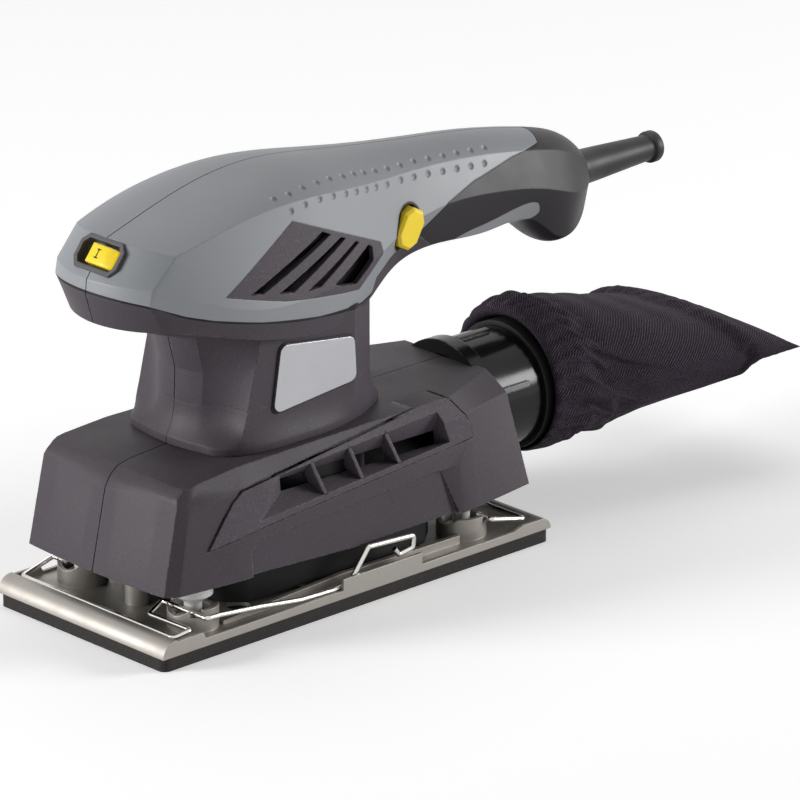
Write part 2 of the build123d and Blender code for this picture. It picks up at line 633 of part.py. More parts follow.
with BuildPart() as base_shell_right:
    mirror(base_shell.part, about=Plane.XZ)
    with BuildSketch(Plane.XZ):
        with Locations(*SHELL_SCREWS):
            Circle(SCREW_R + 2 * FIT_GAP)
    extrude(amount=-SIDE_REACH, mode=Mode.SUBTRACT)
    with BuildSketch(Plane.XZ.offset(-SCREW_SEAT_Y)):
        with Locations(*SHELL_SCREWS):
            Circle(2 * SCREW_R + LOOSE_GAP)
    extrude(amount=-SIDE_REACH, mode=Mode.SUBTRACT)
keep(base_shell_right, "base_shell_right")

with BuildPart() as side_vent:
    add(shell_form(-VENT_PANEL_PROUD))
    add(shell_form(VENT_PANEL_SUNK - FIT_GAP), mode=Mode.SUBTRACT)
    with BuildSketch(Plane.XZ.offset(PANEL_INNER_Y)):
        Polygon(*VENT_PANEL, align=None)
        offset(amount=-SLIDE_GAP / 2, kind=Kind.INTERSECTION, mode=Mode.REPLACE)
    extrude(amount=SIDE_REACH, mode=Mode.INTERSECT)
    for window in VENT_WINDOWS:
        add(side_prism(window, inner=LEG_Y), mode=Mode.SUBTRACT)
keep_pair(side_vent, "side_vent")

# ================================================================ neck and housing forms


def drawn_in(points, centre, inset):
    """Moves outline points towards a centre by the inset."""
    cu, cv = centre
    shares = [1 - inset / math.hypot(u - cu, v - cv) for u, v in points]
    return [(cu + (u - cu) * share, cv + (v - cv) * share) for (u, v), share in zip(points, shares)]


def skirt_form(inset):
    """The flared foot of the neck: an upright edge, then a slope inwards."""
    with BuildPart() as form:
        for low, high, shrink in ((SKIRT_LOW, SKIRT_EDGE, 0), (SKIRT_EDGE, SKIRT_HIGH - inset, SKIRT_SHRINK)):
            for z, moved in ((low, inset), (high, inset + shrink)):
                nose, *flank, tail = drawn_in(SKIRT_PLAN, NECK_CENTRE, moved)
                with BuildSketch(Plane.XY.offset(z)):
                    with BuildLine():
                        for side in (1, -1):
                            f, c, m, a, e = [(x, side * y) for x, y in flank]
                            ThreePointArc(f, c, m)
                            ThreePointArc(m, a, e)
                        ThreePointArc(flank[0], nose, (flank[0][0], -flank[0][1]))
                        ThreePointArc(flank[-1], tail, (flank[-1][0], -flank[-1][1]))
                    make_face()
            loft(ruled=True)
    return form.part


def column_form(inset):
    """The neck column: nose arc, two concave flanks, flat pads and a rounded tail."""
    with BuildPart() as form:
        for z, nose, front, flank, crease, rear, tail in COLUMN_SECTIONS:
            outline = [front, flank, crease, (rear[0] - PAD_END, crease[1]), rear]
            moved = drawn_in(outline, NECK_CENTRE, inset)
            with BuildSketch(Plane.XY.offset(z)):
                with BuildLine():
                    for side in (1, -1):
                        f, m, c, d, e = [(x, side * y) for x, y in moved]
                        ThreePointArc(f, m, c)
                        Polyline(c, d, e)
                    ThreePointArc(moved[0], (nose + inset, 0), (moved[0][0], -moved[0][1]))
                    ThreePointArc(moved[-1], (tail - inset, 0), (moved[-1][0], -moved[-1][1]))
                make_face()
        loft(ruled=True)
    return form.part


def nose_form(inset):
    """Everything behind the leaning face of the nose."""
    with BuildPart() as form:
        for z, nose, (cx, cy) in NOSE_PLANS:
            plan = [(cx + inset, cy), (cx + 13 + inset, cy + 6), (cx + 26 + inset, cy + 30), (200, cy + 30)]
            with BuildSketch(Plane.XY.offset(z)):
                with BuildLine():
                    ThreePointArc((cx + inset, -cy), (nose + inset, 0), plan[0])
                    Polyline(*plan, *[(x, -y) for x, y in reversed(plan)])
                make_face()
        loft(ruled=True)
    return form.part


def housing_form(inset):
    """The upper housing with its handle, trimmed to the nose and drawn in by the inset."""
    last = HOUSING_SECTIONS[-1][0]
    with BuildPart() as form:
        for x, top, crease, widest, low, bottom in HOUSING_SECTIONS:
            k, w, e = drawn_in((crease, widest, low), (0, (top + bottom) / 2), inset)
            with BuildSketch(Plane.YZ.offset(x - inset if x == last else x)):
                with BuildLine():
                    ThreePointArc((-k[0], k[1]), (0, top - inset), k)
                    Polyline(k, w, e)
                    ThreePointArc(e, (0, bottom + inset), (-e[0], e[1]))
                    Polyline((-e[0], e[1]), (-w[0], w[1]), (-k[0], k[1]))
                make_face()
        loft()
        add(nose_form(inset), mode=Mode.INTERSECT)
    return form.part


housing_outer = housing_form(0)
button_place = Location((BUTTON_X, BUTTON_Z, 0), (0, 0, BUTTON_TILT))
housing_inner = housing_form(HOUSING_WALL)
dark_region = side_prism([*DARK_EDGE, (-100, 90)], inner=0)
grip_region = side_prism(GRIP_EDGE, inner=0)
housing_skin = housing_outer - housing_inner
half_cut = Plane.XZ.offset(SEAM_GAP / 2)
# Local frame of the switch: x towards the left side, y down the slope, z outwards
switch_plane = Plane((-83.9, 0, 142.3), x_dir=(0, -1, 0), z_dir=(-0.79, 0, 0.61))

# ================================================================ neck
with BuildPart() as neck:
    add(housing_outer & dark_region)
    add(column_form(0))
    add(skirt_form(0))
    add(housing_skin - dark_region, mode=Mode.SUBTRACT)
    add(housing_inner, mode=Mode.SUBTRACT)
    add(column_form(NECK_WALL), mode=Mode.SUBTRACT)
    add(skirt_form(NECK_WALL), mode=Mode.SUBTRACT)
    split(bisect_by=half_cut, keep=Keep.TOP)
keep(mirrored(neck), "neck_right")

with BuildPart() as neck_left:
    add(neck.part)
    with BuildSketch(Plane.XZ.offset(BUTTON_CUP_IN)):
        with Locations(button_place):
            SlotOverall(BUTTON_CUP_SIZE[0] + 2 * FIT_GAP, BUTTON_CUP_SIZE[1] + 2 * FIT_GAP)
    extrude(amount=SIDE_REACH, mode=Mode.SUBTRACT)
keep(neck_left, "neck_left")

with BuildPart() as badge:
    with BuildSketch(Plane.XZ.offset(COLUMN_SECTIONS[0][4][1] + FIT_GAP)):
        Polygon(*BADGE, align=None)
        fillet(vertices(), radius=BADGE_CORNER)
    extrude(amount=BADGE_THICK)
keep_pair(badge, "badge")

# ================================================================ housing halves
with BuildPart() as top_shell:
    with BuildSketch(Plane.XZ):
        with Locations(*HOUSING_SCREWS):
            Circle(BOSS_R)
    extrude(amount=HOUSING_HALF_WIDTH)
    with BuildSketch(Plane.YZ.offset(MOTOR_X)):
        Polygon(*BEARING_RIB, align=None)
    extrude(amount=RIB_THICK, both=True)
    add(housing_skin - dark_region - grip_region)
    add(housing_outer, mode=Mode.INTERSECT)
    add(side_prism(UPPER_VENT, inner=LEG_Y - 8), mode=Mode.SUBTRACT)
    with BuildSketch(switch_plane.offset(-SWITCH_DEPTH)):
        Polygon(*SWITCH_OUTLINE, align=None)
        offset(amount=FIT_GAP, kind=Kind.INTERSECTION, mode=Mode.REPLACE)
    extrude(amount=3 * SWITCH_DEPTH, mode=Mode.SUBTRACT)
    with Locations(Location((HOUSING_END, 0, SLEEVE_Z), (0, 90, 0))):
        Cylinder(SLEEVE_NECK_R + FIT_GAP, 10, mode=Mode.SUBTRACT)
    with BuildSketch(Plane.XZ):
        with Locations(*HOUSING_SCREWS):
            Circle(SCREW_R + FIT_GAP)
    extrude(amount=HOUSING_SEAT_Y + 1, mode=Mode.SUBTRACT)
    split(bisect_by=half_cut, keep=Keep.TOP)

with BuildPart() as top_shell_left:
    add(top_shell.part)
    with BuildSketch(Plane.XZ.offset(BUTTON_CUP_IN)):
        with Locations(button_place):
            SlotOverall(BUTTON_CUP_SIZE[0] + 2 * FIT_GAP, BUTTON_CUP_SIZE[1] + 2 * FIT_GAP)
    extrude(amount=SIDE_REACH, mode=Mode.SUBTRACT)
keep(top_shell_left, "top_shell_left")

with BuildPart() as top_shell_right:
    mirror(top_shell.part, about=Plane.XZ)
    with BuildSketch(Plane.XZ.offset(-HOUSING_SEAT_Y)):
        with Locations(*HOUSING_SCREWS):
            Circle(2 * SCREW_R + LOOSE_GAP)
    extrude(amount=-SIDE_REACH, mode=Mode.SUBTRACT)
keep(top_shell_right, "top_shell_right")

with BuildPart() as handle_grip:
    add(housing_skin & grip_region)
    with Locations(Location((HOUSING_END, 0, SLEEVE_Z), (0, 90, 0))):
        Cylinder(SLEEVE_NECK_R + FIT_GAP, 10, mode=Mode.SUBTRACT)
    split(bisect_by=half_cut, keep=Keep.TOP)
keep_pair(handle_grip, "handle_grip")

with BuildPart() as vent_grille:
    with BuildSketch(Plane.XZ.offset(LEG_Y - 8)):
        Polygon(*UPPER_VENT, align=None)
        offset(amount=-FIT_GAP, kind=Kind.INTERSECTION, mode=Mode.REPLACE)
    extrude(amount=SIDE_REACH)
    add(housing_skin, mode=Mode.INTERSECT)
    for slot in VENT_SLOTS:
        add(side_prism(slot, inner=LEG_Y - 8), mode=Mode.SUBTRACT)
keep_pair(vent_grille, "vent_grille")

# ================================================================ slide switch
with BuildPart() as switch_bezel:
    with BuildSketch(switch_plane.offset(-SWITCH_DEPTH)):
        Polygon(*SWITCH_OUTLINE, align=None)
    extrude(amount=SWITCH_DEPTH)
    with BuildSketch(switch_plane):
        Polygon(*SWITCH_OUTLINE, align=None)
        offset(amount=-SWITCH_FRAME, kind=Kind.INTERSECTION, mode=Mode.REPLACE)
    extrude(amount=-SWITCH_SUNK, mode=Mode.SUBTRACT)
    with BuildSketch(switch_plane):
        with Locations((SLIDER_REST - SWITCH_TRAVEL / 2, 0)):
            Rectangle(SLIDER_STEM + SWITCH_TRAVEL + 2 * SLIDE_GAP, SLIDER_STEM + 2 * SLIDE_GAP)
    extrude(amount=-SWITCH_DEPTH, mode=Mode.SUBTRACT)
keep(switch_bezel, "switch_bezel")

with BuildPart() as switch_slider:
    with BuildSketch(switch_plane.offset(-SWITCH_SUNK + SLIDE_GAP)):
        with Locations((SLIDER_REST, 0)):
            Rectangle(*SLIDER_SIZE)
    extrude(amount=SWITCH_SUNK)
    with BuildSketch(switch_plane.offset(-SWITCH_DEPTH + SLIDE_GAP)):
        with Locations((SLIDER_REST, 0)):
            Rectangle(SLIDER_STEM, SLIDER_STEM)
    extrude(amount=SWITCH_DEPTH - SWITCH_SUNK + SLIDE_GAP)
keep(switch_slider, "switch_slider")

with BuildPart() as switch_body:
    with BuildSketch(switch_plane.offset(-SWITCH_DEPTH - FIT_GAP)):
        Rectangle(SWITCH_BODY[0], SWITCH_BODY[1])
    extrude(amount=-SWITCH_BODY[2])
keep(switch_body, "switch_body")

# ================================================================ side button
with BuildPart() as button_bezel:
    with BuildSketch(Plane.XZ.offset(BUTTON_CUP_IN + FIT_GAP)):
        with Locations(button_place):
            SlotOverall(*BUTTON_CUP_SIZE)
    extrude(amount=BUTTON_CUP_LENGTH)
    with BuildSketch(Plane.XZ.offset(BUTTON_CUP_IN + BUTTON_CUP_WALL)):
        with Locations(button_place):
            SlotOverall(BUTTON_CUP_SIZE[0] - 2 * BUTTON_CUP_WALL, BUTTON_CUP_SIZE[1] - 2 * BUTTON_CUP_WALL)
    extrude(amount=BUTTON_CUP_LENGTH, mode=Mode.SUBTRACT)
    add(housing_outer, mode=Mode.INTERSECT)
keep(button_bezel, "button_bezel")

with BuildPart() as lock_button:
    with BuildSketch(Plane.XZ.offset(BUTTON_FACE)):
        with Locations(button_place):
            Polygon(*BUTTON_OUTLINE, align=None)
    extrude(amount=-BUTTON_THICK)
    chamfer(lock_button.faces().sort_by(Axis.Y)[0].edges(), length=1)
keep(lock_button, "lock_button")

spring_low = BUTTON_CUP_IN + BUTTON_CUP_WALL + SPRING_WIRE_R + FIT_GAP
spring_high = BUTTON_FACE - BUTTON_THICK - SPRING_WIRE_R - FIT_GAP
with BuildPart() as coil:
    with BuildLine() as coil_line:
        Helix(pitch=(spring_high - spring_low) / SPRING_TURNS, height=spring_high - spring_low, radius=SPRING_R)
    with BuildSketch(Plane(coil_line.wire() @ 0, z_dir=coil_line.wire() % 0)):
        Circle(SPRING_WIRE_R)
    sweep(is_frenet=True)
with BuildPart() as button_spring:
    add(coil.part.moved(Location((BUTTON_X, -spring_low, BUTTON_Z), (90, 0, 0))))
keep(button_spring, "button_spring")

# ================================================================ rotor
with BuildPart() as motor_shaft:
    for radius, low, high in (
        (SHAFT_R, SHAFT_LOW, SHAFT_STEP), (COMMUTATOR_SHAFT_R, SHAFT_STEP, SHAFT_TAIL),
        (TAIL_SHAFT_R - RUN_GAP, SHAFT_TAIL, SHAFT_HIGH),
    ):
        with BuildSketch(Plane.XY.offset(low)):
            with Locations((MOTOR_X, 0)):
                Circle(radius)
        extrude(amount=high - low)
keep(motor_shaft, "motor_shaft")

with BuildPart() as armature_core:
    add(ring(SHAFT_R + FIT_GAP, CORE_R, STATOR_LOW, STATOR_HIGH, MOTOR_X).part)
    with BuildSketch(Plane.XY.offset(STATOR_LOW)):
        with Locations((MOTOR_X, 0)):
            with PolarLocations(CORE_R, ROTOR_SLOTS):
                Rectangle(2 * (CORE_R - SHAFT_R) - 6, 1.8)
    extrude(amount=STATOR_HIGH - STATOR_LOW, mode=Mode.SUBTRACT)
keep(armature_core, "armature_core")

with BuildPart() as armature_windings:
    for low, high in ((WINDING_LOW, STATOR_LOW - FIT_GAP), (STATOR_HIGH + FIT_GAP, WINDING_HIGH)):
        add(ring(SHAFT_R + FIT_GAP, CORE_R - 1.5, low, high, MOTOR_X).part)
keep(armature_windings, "armature_windings")

with BuildPart() as commutator:
    add(ring(COMMUTATOR_SHAFT_R + FIT_GAP, COMMUTATOR_R, COMMUTATOR_LOW, COMMUTATOR_HIGH, MOTOR_X).part)
    with BuildSketch(Plane.XY.offset(COMMUTATOR_LOW)):
        with Locations((MOTOR_X, 0)):
            with PolarLocations(COMMUTATOR_R, 2 * ROTOR_SLOTS):
                Rectangle(1.4, 0.5)
    extrude(amount=COMMUTATOR_HIGH, mode=Mode.SUBTRACT)
keep(commutator, "commutator")

with BuildPart() as cooling_fan:
    add(ring(SHAFT_R + FIT_GAP, FAN_HUB_R, FAN_LOW, FAN_HIGH, MOTOR_X).part)
    add(ring(FAN_HUB_R - 1, FAN_R, FAN_LOW, FAN_LOW + 1.6, MOTOR_X).part)
    with BuildSketch(Plane.XY.offset(FAN_LOW + 1)):
        with Locations((MOTOR_X, 0)):
            with PolarLocations((FAN_R + FAN_HUB_R) / 2, FAN_BLADES):
                Rectangle(FAN_R - FAN_HUB_R - 3, 1.4)
    extrude(amount=FAN_HIGH - FAN_LOW - 1)
keep(cooling_fan, "cooling_fan")

with BuildPart() as eccentric_weight:
    with Locations((MOTOR_X, 0, WEIGHT_LOW)):
        Cylinder(WEIGHT_HUB_R, WEIGHT_HIGH - WEIGHT_LOW, align=(Align.CENTER, Align.CENTER, Align.MIN))
    with BuildSketch(Plane.XY.offset(WEIGHT_LOW + 0.7)):
        with BuildLine():
            Line((MOTOR_X, -WEIGHT_R), (MOTOR_X, WEIGHT_R))
            ThreePointArc((MOTOR_X, WEIGHT_R), (MOTOR_X - WEIGHT_R, 0), (MOTOR_X, -WEIGHT_R))
        make_face()
    extrude(amount=WEIGHT_THICK)
    with Locations((MOTOR_X, 0, SHAFT_LOW)):
        Cylinder(SHAFT_R + FIT_GAP, WEIGHT_HIGH, align=(Align.CENTER, Align.CENTER, Align.MIN), mode=Mode.SUBTRACT)
    with Locations((HUB_X, 0, seat_low + LOOSE_GAP)):
        Cylinder(PLATE_BEARING[0] - RUN_GAP, WEIGHT_LOW - seat_low, align=(Align.CENTER, Align.CENTER, Align.MIN))
keep(eccentric_weight, "eccentric_weight")

# ================================================================ motor, fixed parts
with BuildPart() as bearing_bridge:
    add(ring(ROOF_HOLE_R - 8, BRIDGE_R, SKIRT_LOW, SKIRT_LOW + BRIDGE_THICK, MOTOR_X).part)
    add(ring(LOWER_BEARING[1] + FIT_GAP, ROOF_HOLE_R - 0.3, SKIRT_LOW, LOWER_BEARING_Z + LOWER_BEARING[2],
             MOTOR_X).part)
    with BuildSketch(Plane.XY.offset(SKIRT_LOW)):
        with Locations((MOTOR_X, 0)):
            with PolarLocations(BRIDGE_SCREW_PITCH_R, 4, start_angle=45):
                Circle(SCREW_R + FIT_GAP)
            with PolarLocations(BRIDGE_SCREW_PITCH_R, 4):
                SlotOverall(11, 3, rotation=90)
    extrude(amount=BRIDGE_THICK, mode=Mode.SUBTRACT)
keep(bearing_bridge, "bearing_bridge")

with BuildPart() as bridge_screws:
    with Locations((MOTOR_X, 0, SKIRT_LOW + BRIDGE_THICK)):
        with PolarLocations(BRIDGE_SCREW_PITCH_R, 4, start_angle=45):
            Cylinder(2 * SCREW_R, 1.8, align=(Align.CENTER, Align.CENTER, Align.MIN))
            Cylinder(SCREW_R - FIT_GAP, BRIDGE_THICK + 3, align=(Align.CENTER, Align.CENTER, Align.MAX))
keep(bridge_screws, "bridge_screws")

keep(ball_bearing(LOWER_BEARING, LOWER_BEARING_Z, MOTOR_X), "lower_bearing")
keep(ball_bearing(UPPER_BEARING, UPPER_BEARING_Z, MOTOR_X), "upper_bearing")

with BuildPart() as bearing_cap:
    add(ring(UPPER_BEARING[1] + FIT_GAP, BEARING_CAP_R, UPPER_BEARING_Z, UPPER_BEARING_Z + UPPER_BEARING[2] + 1,
             MOTOR_X).part)
    add(ring(UPPER_BEARING[0] + 2, BEARING_CAP_R, UPPER_BEARING_Z + UPPER_BEARING[2] + FIT_GAP,
             UPPER_BEARING_Z + UPPER_BEARING[2] + 2, MOTOR_X).part)
keep(bearing_cap, "bearing_cap")

with BuildPart() as stator_core:
    add(ring(STATOR_BORE, STATOR_R, STATOR_LOW, STATOR_HIGH, MOTOR_X).part)
    with BuildSketch(Plane.XY.offset(STATOR_LOW)):
        with Locations((MOTOR_X, 0)):
            with PolarLocations(STATOR_R, 4, start_angle=45):
                Circle(2.4)
    extrude(amount=STATOR_HIGH - STATOR_LOW, mode=Mode.SUBTRACT)
keep(stator_core, "stator_core")

with BuildPart() as field_windings:
    for low, high in ((WINDING_LOW, STATOR_LOW - FIT_GAP), (STATOR_HIGH + FIT_GAP, WINDING_HIGH)):
        with BuildSketch(Plane.XY.offset(low)):
            with Locations((MOTOR_X, 0)):
                Circle(STATOR_R - 1.5)
                Circle(STATOR_BORE + 2, mode=Mode.SUBTRACT)
                Rectangle(12, 3 * STATOR_R, mode=Mode.SUBTRACT)
        extrude(amount=high - low)
keep(field_windings, "field_windings")

with BuildPart() as brush_holders:
    add(ring(COMMUTATOR_R + 4, STATOR_R - 0.5, COMMUTATOR_LOW, COMMUTATOR_LOW + 2, MOTOR_X).part)
    for side in (-1, 1):
        with Locations((MOTOR_X + side * (COMMUTATOR_R + 8), 0, COMMUTATOR_LOW + 1)):
            Box(14, 10, 10, align=(Align.CENTER, Align.CENTER, Align.MIN))
        with Locations((MOTOR_X + side * (COMMUTATOR_R + 8), 0, COMMUTATOR_LOW + 3)):
            Box(14, 6.4, 6.4, align=(Align.CENTER, Align.CENTER, Align.MIN), mode=Mode.SUBTRACT)
keep(brush_holders, "brush_holders")

with BuildPart() as carbon_brushes:
    for side in (-1, 1):
        with Locations((MOTOR_X + side * (COMMUTATOR_R + 6), 0, COMMUTATOR_LOW + 3.2)):
            Box(11.9, 6, 6, align=(Align.CENTER, Align.CENTER, Align.MIN))
keep(carbon_brushes, "carbon_brushes")

with BuildPart() as fan_baffle:
    add(ring(FAN_EYE_R, FAN_R + 3, BAFFLE_Z, BAFFLE_Z + 2, MOTOR_X).part)
    with BuildSketch(Plane.XY.offset(BAFFLE_Z + 1)):
        with Locations((MOTOR_X, 0)):
            with PolarLocations(FAN_R - 1, 4, start_angle=45):
                Circle(2.5)
    extrude(amount=SHELL_TOP - SHELL_WALL - BAFFLE_Z - 1 - FIT_GAP)
keep(fan_baffle, "fan_baffle")

with BuildPart() as base_screws:
    for x, z in SHELL_SCREWS:
        with Locations(Location((x, SCREW_SEAT_Y, z), (90, 0, 0))):
            Cylinder(SCREW_R, SCREW_SEAT_Y + SCREW_REACH - 1, align=(Align.CENTER, Align.CENTER, Align.MIN))
            Cylinder(2 * SCREW_R, 2.4, align=(Align.CENTER, Align.CENTER, Align.MAX))
keep(base_screws, "base_screws")

with BuildPart() as housing_screws:
    for x, z in HOUSING_SCREWS:
        with Locations(Location((x, HOUSING_SEAT_Y, z), (90, 0, 0))):
            Cylinder(SCREW_R, 2 * HOUSING_SEAT_Y, align=(Align.CENTER, Align.CENTER, Align.MIN))
            Cylinder(2 * SCREW_R, 2.4, align=(Align.CENTER, Align.CENTER, Align.MAX))
keep(housing_screws, "housing_screws")

# ================================================================ handle
with BuildPart() as suppressor_capacitor:
    with Locations((CAPACITOR_X, 0, CAPACITOR_Z)):
        Box(20, 10, 12, align=(Align.CENTER, Align.CENTER, Align.MIN))
keep(suppressor_capacitor, "suppressor_capacitor")

with BuildPart() as cord_sleeve:
    with BuildSketch(Plane.XZ):
        with BuildLine():
            Polyline(
                (HOUSING_END - HOUSING_WALL - 2, SLEEVE_Z), (HOUSING_END - HOUSING_WALL - 2, SLEEVE_Z + 7),
                (HOUSING_END - HOUSING_WALL - LOOSE_GAP, SLEEVE_Z + 7),
                (HOUSING_END - HOUSING_WALL - LOOSE_GAP, SLEEVE_Z + SLEEVE_NECK_R),
                (HOUSING_END + LOOSE_GAP, SLEEVE_Z + SLEEVE_NECK_R), (HOUSING_END + LOOSE_GAP, SLEEVE_Z + 7.2),
                (SLEEVE_END - 4, SLEEVE_Z + 5.6), (SLEEVE_END - 4, SLEEVE_Z + 7), (SLEEVE_END, SLEEVE_Z + 7),
                (SLEEVE_END, SLEEVE_Z), close=True,
            )
        make_face()
    revolve(axis=Axis((0, 0, SLEEVE_Z), (1, 0, 0)))
    with Locations(Location((SLEEVE_END, 0, SLEEVE_Z), (0, 90, 0))):
        Cylinder(CABLE_R, 2 * SLEEVE_LENGTH, mode=Mode.SUBTRACT)
keep(cord_sleeve, "cord_sleeve")

# ================================================================ dust outlet, tube and bag
tube_bore = TUBE_R - TUBE_WALL
spigot_r = tube_bore - LOOSE_GAP


def pipe(inner, outer, front, back):
    """A plain pipe along X on the dust path's axis."""
    with BuildPart() as made:
        with BuildSketch(Plane.YZ.offset(front)):
            with Locations((0, TUBE_Z)):
                Circle(outer)
                Circle(inner, mode=Mode.SUBTRACT)
        extrude(amount=back - front)
    return made.part


with BuildPart() as dust_outlet:
    add(pipe(spigot_r - SPIGOT_WALL, spigot_r, OUTLET_FRONT, TUBE_FRONT + 14))
    add(pipe(spigot_r - SPIGOT_WALL, OUTLET_R, OUTLET_FRONT, TUBE_FRONT - LOOSE_GAP))
keep(dust_outlet, "dust_outlet")

with BuildPart() as dust_adapter:
    add(pipe(tube_bore, TUBE_R, TUBE_FRONT, TUBE_BACK))
    with Locations((TUBE_FRONT + 9, 0, TUBE_Z + TUBE_R - 0.4)):
        Box(16, 2.4, 1.8, align=(Align.CENTER, Align.CENTER, Align.MIN))
    with Locations(Location((TUBE_FRONT + 9, 0, TUBE_Z), (KEY_BAR_ANGLE, 0, 0))):
        with Locations((0, -TUBE_R + 0.4, 0)):
            Box(16, 1.8, 2.4, align=(Align.CENTER, Align.MAX, Align.CENTER))
keep(dust_adapter, "dust_adapter")

with BuildPart() as bag_collar:
    add(pipe(TUBE_R + FIT_GAP, COLLAR_R, COLLAR_FRONT, TUBE_BACK))
keep(bag_collar, "bag_collar")

with BuildPart() as dust_bag:
    for drawn_in in (0, BAG_WALL):
        for x, side, rise, sag in BAG_SECTIONS:
            ends = {BAG_MOUTH: x + drawn_in, BAG_END: x - 3 * drawn_in}
            with BuildSketch(Plane.YZ.offset(ends.get(x, x))):
                with BuildLine():
                    for height, start in ((rise, 0), (sag, 180)):
                        EllipticalCenterArc(
                            (0, BAG_AXIS_Z), side - drawn_in, height - drawn_in * 0.9, start_angle=start, arc_size=180
                        )
                make_face()
        loft(mode=Mode.SUBTRACT if drawn_in else Mode.ADD)
    with Locations(Location((BAG_MOUTH, 0, TUBE_Z), (0, 90, 0))):
        Cylinder(COLLAR_R + FIT_GAP, 6, mode=Mode.SUBTRACT)
keep(dust_bag, "dust_bag")
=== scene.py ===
import functools
import logging
import math
from dataclasses import dataclass
from enum import Enum
from typing import Any, Callable, Sequence

import bmesh
import bpy
from mathutils import Matrix, Vector
from mathutils.bvhtree import BVHTree


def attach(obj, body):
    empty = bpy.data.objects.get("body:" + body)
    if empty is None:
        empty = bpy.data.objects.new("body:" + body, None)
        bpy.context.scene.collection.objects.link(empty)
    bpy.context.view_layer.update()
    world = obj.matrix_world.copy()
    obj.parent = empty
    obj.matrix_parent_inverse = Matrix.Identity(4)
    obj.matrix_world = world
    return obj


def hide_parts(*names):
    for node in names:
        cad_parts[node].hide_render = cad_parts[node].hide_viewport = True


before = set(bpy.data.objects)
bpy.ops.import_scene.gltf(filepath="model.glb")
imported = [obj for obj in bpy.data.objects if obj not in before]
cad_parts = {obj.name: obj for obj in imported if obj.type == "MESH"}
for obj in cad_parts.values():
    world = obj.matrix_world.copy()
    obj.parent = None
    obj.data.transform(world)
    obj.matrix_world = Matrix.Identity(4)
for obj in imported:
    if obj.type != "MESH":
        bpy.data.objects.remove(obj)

log = logging.getLogger("orbital_sander")

MM = 0.001
MICRON = 1e-6
MERGE = 1e-6
DUST_COLOUR = (190, 184, 172)
WHITE = (1, 1, 1, 1)
Colour = tuple[int, int, int]
Point = tuple[float, float]
Line = Sequence[Point]
Outline = tuple[Point, ...]
Place = tuple[float, float, float]
Span = tuple[float, float, float, float]
Mesh = bmesh.types.BMesh
Socket = bpy.types.NodeSocket
Tree = bpy.types.NodeTree


class Side(Enum):
    """The two halves of the shells."""

    LEFT = -1
    RIGHT = 1

    @property
    def tail(self) -> str:
        """The ending of this half's piece names."""
        return self.name.lower()


# ---- shared helpers
def linear(colour: Colour) -> tuple[float, float, float, float]:
    """Turns a screen colour of 0 to 255 into the linear colour that shaders take.

    Args:
        colour: red, green and blue.

    Returns:
        The linear red, green and blue, and full cover.
    """
    parts = [c / 255 for c in colour]
    red, green, blue = (p / 12.92 if p <= 0.04045 else ((p + 0.055) / 1.055) ** 2.4 for p in parts)
    return red, green, blue, 1.0


def share_of(low: float, high: float, value: float) -> float:
    """How far a value has come from low to high, held between 0 and 1."""
    return min(1.0, max(0.0, (value - low) / (high - low)))


def mix(low: float, high: float, share: float) -> float:
    """The number that share of the way from low to high."""
    return low + (high - low) * share


def along_straight(table: Line, x: float) -> float:
    """Reads a two-column table at x, straight between its rows and held at its ends.

    Args:
        table: rows of x and a value, in rising x.
        x: where to read it.

    Returns:
        The value at x.
    """
    for low, high in zip(table, table[1:]):
        if x <= high[0]:
            return mix(low[1], high[1], share_of(low[0], high[0], x))
    return table[-1][1]


def within(outline: Line, x: float, z: float, slack: float = 0.0) -> bool:
    """Whether a point lies inside a convex outline listed clockwise, or no further than slack outside it.

    Args:
        outline: corners (x, z).
        x: the point's x.
        z: the point's z.
        slack: how far outside still counts.

    Returns:
        Whether it does.
    """
    for (ax, az), (bx, bz) in zip(outline, (*outline[1:], outline[0])):
        length = math.hypot(bx - ax, bz - az)
        if ((bx - ax) * (z - az) - (bz - az) * (x - ax)) / length > slack:
            return False
    return True


def between(start: Point, end: Point, share: float) -> Point:
    """The point that share of the way along a straight line."""
    return mix(start[0], end[0], share), mix(start[1], end[1], share)


def through(start: Point, middle: Point, end: Point, share: float) -> Point:
    """The point that share of the way along the smooth arc through three points.

    Args:
        start: where the arc starts.
        middle: the point half of the way along it.
        end: where it ends.
        share: how far along it, 0 to 1.

    Returns:
        The point.
    """
    first, second, third = (1 - share) * (1 - 2 * share), 4 * share * (1 - share), share * (2 * share - 1)
    x, y = (a * first + b * second + c * third for a, b, c in zip(start, middle, end))
    return x, y


def arc(start: Point, middle: Point, end: Point, first: float, last: float, count: int) -> list[Point]:
    """Count points along the smooth arc through three points, from the share first towards the share last."""
    return [through(start, middle, end, mix(first, last, i / count)) for i in range(count)]


def rectangle(low_x: float, high_x: float, low_z: float, high_z: float) -> Outline:
    """An upright rectangle's corners."""
    return (low_x, low_z), (low_x, high_z), (high_x, high_z), (high_x, low_z)


def smoothstep(low: float, high: float, value: float) -> float:
    """Rises smoothly from 0 at low to 1 at high."""
    t = share_of(low, high, value)
    return t * t * (3 - 2 * t)


def swell(span: Span, value: float) -> float:
    """Rises smoothly over the first two numbers of span, and falls again over the last two."""
    return smoothstep(span[0], span[1], value) * (1 - smoothstep(span[2], span[3], value))


def along(table: Sequence[Sequence[float]], x: float) -> list[float]:
    """Reads a table of stations at x, smoothly between its rows.

    Args:
        table: rows of x followed by values, in rising x.
        x: where to read it.

    Returns:
        The values at x.
    """
    for low, high in zip(table, table[1:]):
        if x <= high[0]:
            share = (smoothstep(low[0], high[0], x) + share_of(low[0], high[0], x)) / 2
            return [mix(a, b, share) for a, b in zip(low[1:], high[1:])]
    return list(table[-1][1:])


